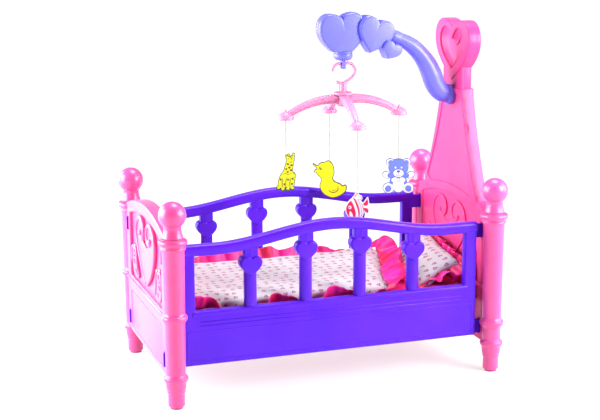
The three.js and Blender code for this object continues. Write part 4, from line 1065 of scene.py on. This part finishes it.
def quilt_seam():
    """Stations round the quilt's rim: seam point, fall, width and pleat depth."""
    down, drop, over, up, flat = (0, -0.8, -0.55), (0, -0.8, -0.2), (0, -0.5, 0.7), (0, 0.32, 0.95), (0.93, -0.14, 0.3)
    near = [(-200, 130, (-0.1, -0.4, 0.9), 17), (-192, 129, (0.1, -0.32, 0.94), 19), (-172, 128, (0, -0.5, 0.6), 13),
            (-152, 127, drop, 10), (-125, 126, down, 10), (-104, 126, drop, 10), (-88, 127, over, 11),
            (-70, 128, (0, -0.5, 0.75), 11), (-50, 127, (0, -0.8, -0.1), 10), (-32, 126, drop, 10),
            (-10, 127, over, 12), (11, 128, (0, -0.4, 0.85), 14), (28, 127, (0, -0.6, 0.3), 11), (46, 126, down, 10),
            (60, 127, (0, -0.6, 0.1), 11), (74, 127, (0.1, -0.6, 0.4), 12)]
    far = [(122, 134, (0, 0.9, 0.1), 6), (96, 133, (0, 0.9, 0.1), 6), (74, 133, (0, 0.6, 0.6), 8), (53, 133, up, 12),
           (28, 133, up, 14), (8, 133, up, 16), (-12, 133, up, 13), (-30, 133, up, 18), (-50, 133, up, 18),
           (-82, 133, up, 16), (-116, 134, up, 15), (-146, 134, up, 10), (-180, 133, up, 13)]
    return [
        *(((x, -95.5, z - 5), fall, width + 4.5, 0.5) for x, z, fall, width in near),
        ((84, -95, 129), (0.6, -0.5, 0.3), 17, 0.9),
        ((quilt_head(-86) - 5, -88, 130.5), (0.93, -0.25, 0.2), 28, 1.3),
        *(((quilt_head(y) - 7, y, 132), flat, 34, 1.5) for y in (-66, -40, -12, 16, 44, 66)),
        ((quilt_head(84) - 6, 84, 135.5), (0.9, 0.1, 0.42), 30, 1.3),
        ((140, 94, 137), (0.55, 0.2, 0.8), 17, 0.8),
        *(((x, 95, z), fall, width, 0.42) for x, z, fall, width in far),
        ((-203, 90, 132), (-0.4, 0.3, 0.85), 14, 0.5),
        *(((-207, y, 131.5), (-0.38, 0, 0.92), 14, 0.5) for y in (64, 32, 0, -32, -64)),
        ((-205, -86, 131), (-0.3, -0.2, 0.92), 15, 0.5),
    ]


# --- the whole crib ---
for figure in FIGURES:
    hanging_string(figure)
for corner in CORNERS:
    post(corner)
    finial(corner)
boards()
crest()
rail("side_rail_right")
rail("side_rail_left")
arm()
housings()
hook_and_hub()
for figure in FIGURES:
    branch(figure)
    cap(figure)
for figure, (turn, layers) in PRINTS.items():
    hanging_figure(figure, turn, layers)
bedding()

for material, names in {  # CAD nodes that keep their own shape
    GLIDE: [f"glide_{c}" for c in CORNERS],
    PINK: ["bed_deck"],
    PERI: ["battery_door", "spindle"],
    CELL: ["battery_cell_lower", "battery_cell_upper"],
    WHITE: ["switch_knob", "motor_pinion", "drive_gear"],
    STEEL: ["screw_left", "screw_right", "motor"],
}.items():
    for name in names:
        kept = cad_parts[name].data.materials
        kept.clear()
        kept.append(material)

# --- floor, studio, lights and camera, in metres ---
FLOOR_HALF = 45000  # in millimetres, like every mesh
look = Look("floor")
glow = look.span(look.sum_of("LENGTH", look.place, kind="VectorMath").outputs["Value"], (0.5, 3.5), (0.66, 1.02))
look.shade({"Base Color": (0.36, 0.36, 0.36, 1), "Roughness": 0.9, "Emission Color": glow, "Emission Strength": 1})
corners = [(x * FLOOR_HALF, y * FLOOR_HALF, 0) for x, y in ((-1, -1), (1, -1), (1, 1), (-1, 1))]
make("floor", corners, [(0, 1, 2, 3)], look.owner)

# a pale studio all round, with a dark wall on the near side
sky = Look("studio", "worlds")
bpy.context.scene.world = sky.owner
heading = sky.place.node.outputs["Generated"]
toward = sky.sum_of("DOT_PRODUCT", heading, (-0.22, -0.97, 0.08), kind="VectorMath").outputs["Value"]
glow = sky.span(toward, (0.90, 0.40), (0.12, 1.9))
glow.interpolation_type = "SMOOTHSTEP"
sky.wire(sky.tree.nodes["Background"].inputs["Strength"], glow)
bpy.context.scene.view_settings.view_transform = "Standard"


def aimed(obj, at, toward, roll=0.0):
    obj.location = at
    obj.rotation_mode = "QUATERNION"
    turn = Matrix.Rotation(roll, 4, "Z").to_quaternion()
    obj.rotation_quaternion = Vector(toward).to_track_quat("-Z", "Y") @ turn


for name, at, target, size, power in (
    ("left_softbox", (-1.5, 0.2, 0.6), (-0.2, 0, 0.2), (0.9, 1.1), 56),
    ("rim_softbox", (-0.95, 1.0, 0.5), (-0.2, 0, 0.2), (0.6, 0.8), 20),
    ("right_softbox", (2.1, -0.5, 1.0), (0, 0, 0.25), (0.8, 1.6), 50),
    ("front_softbox", (0.72, -0.75, 0.62), (0.23, -0.02, 0.44), (0.4, 0.5), 19),
    ("top_softbox", (0.3, 0.2, 1.9), (0, 0, 0.2), (0.8, 0.7), 33),
):
    light = bpy.data.lights.new(name, "AREA")
    light.shape = "RECTANGLE"
    light.size, light.size_y = size
    light.energy = power
    aimed(place_in_scene(name, light), at, Vector(target) - Vector(at))

camera = place_in_scene("camera", bpy.data.cameras.new("camera"))
bpy.context.scene.camera = camera
camera.data.sensor_width = 36
camera.data.lens = 82.82
camera.data.clip_end = 80
azimuth, elevation, roll = (math.radians(v) for v in (-18.818, 12.336, -0.253))
ahead = (-math.sin(azimuth) * math.cos(elevation), math.cos(azimuth) * math.cos(elevation), -math.sin(elevation))
aimed(camera, (-0.6327, -1.8180, 0.6460), ahead, roll)
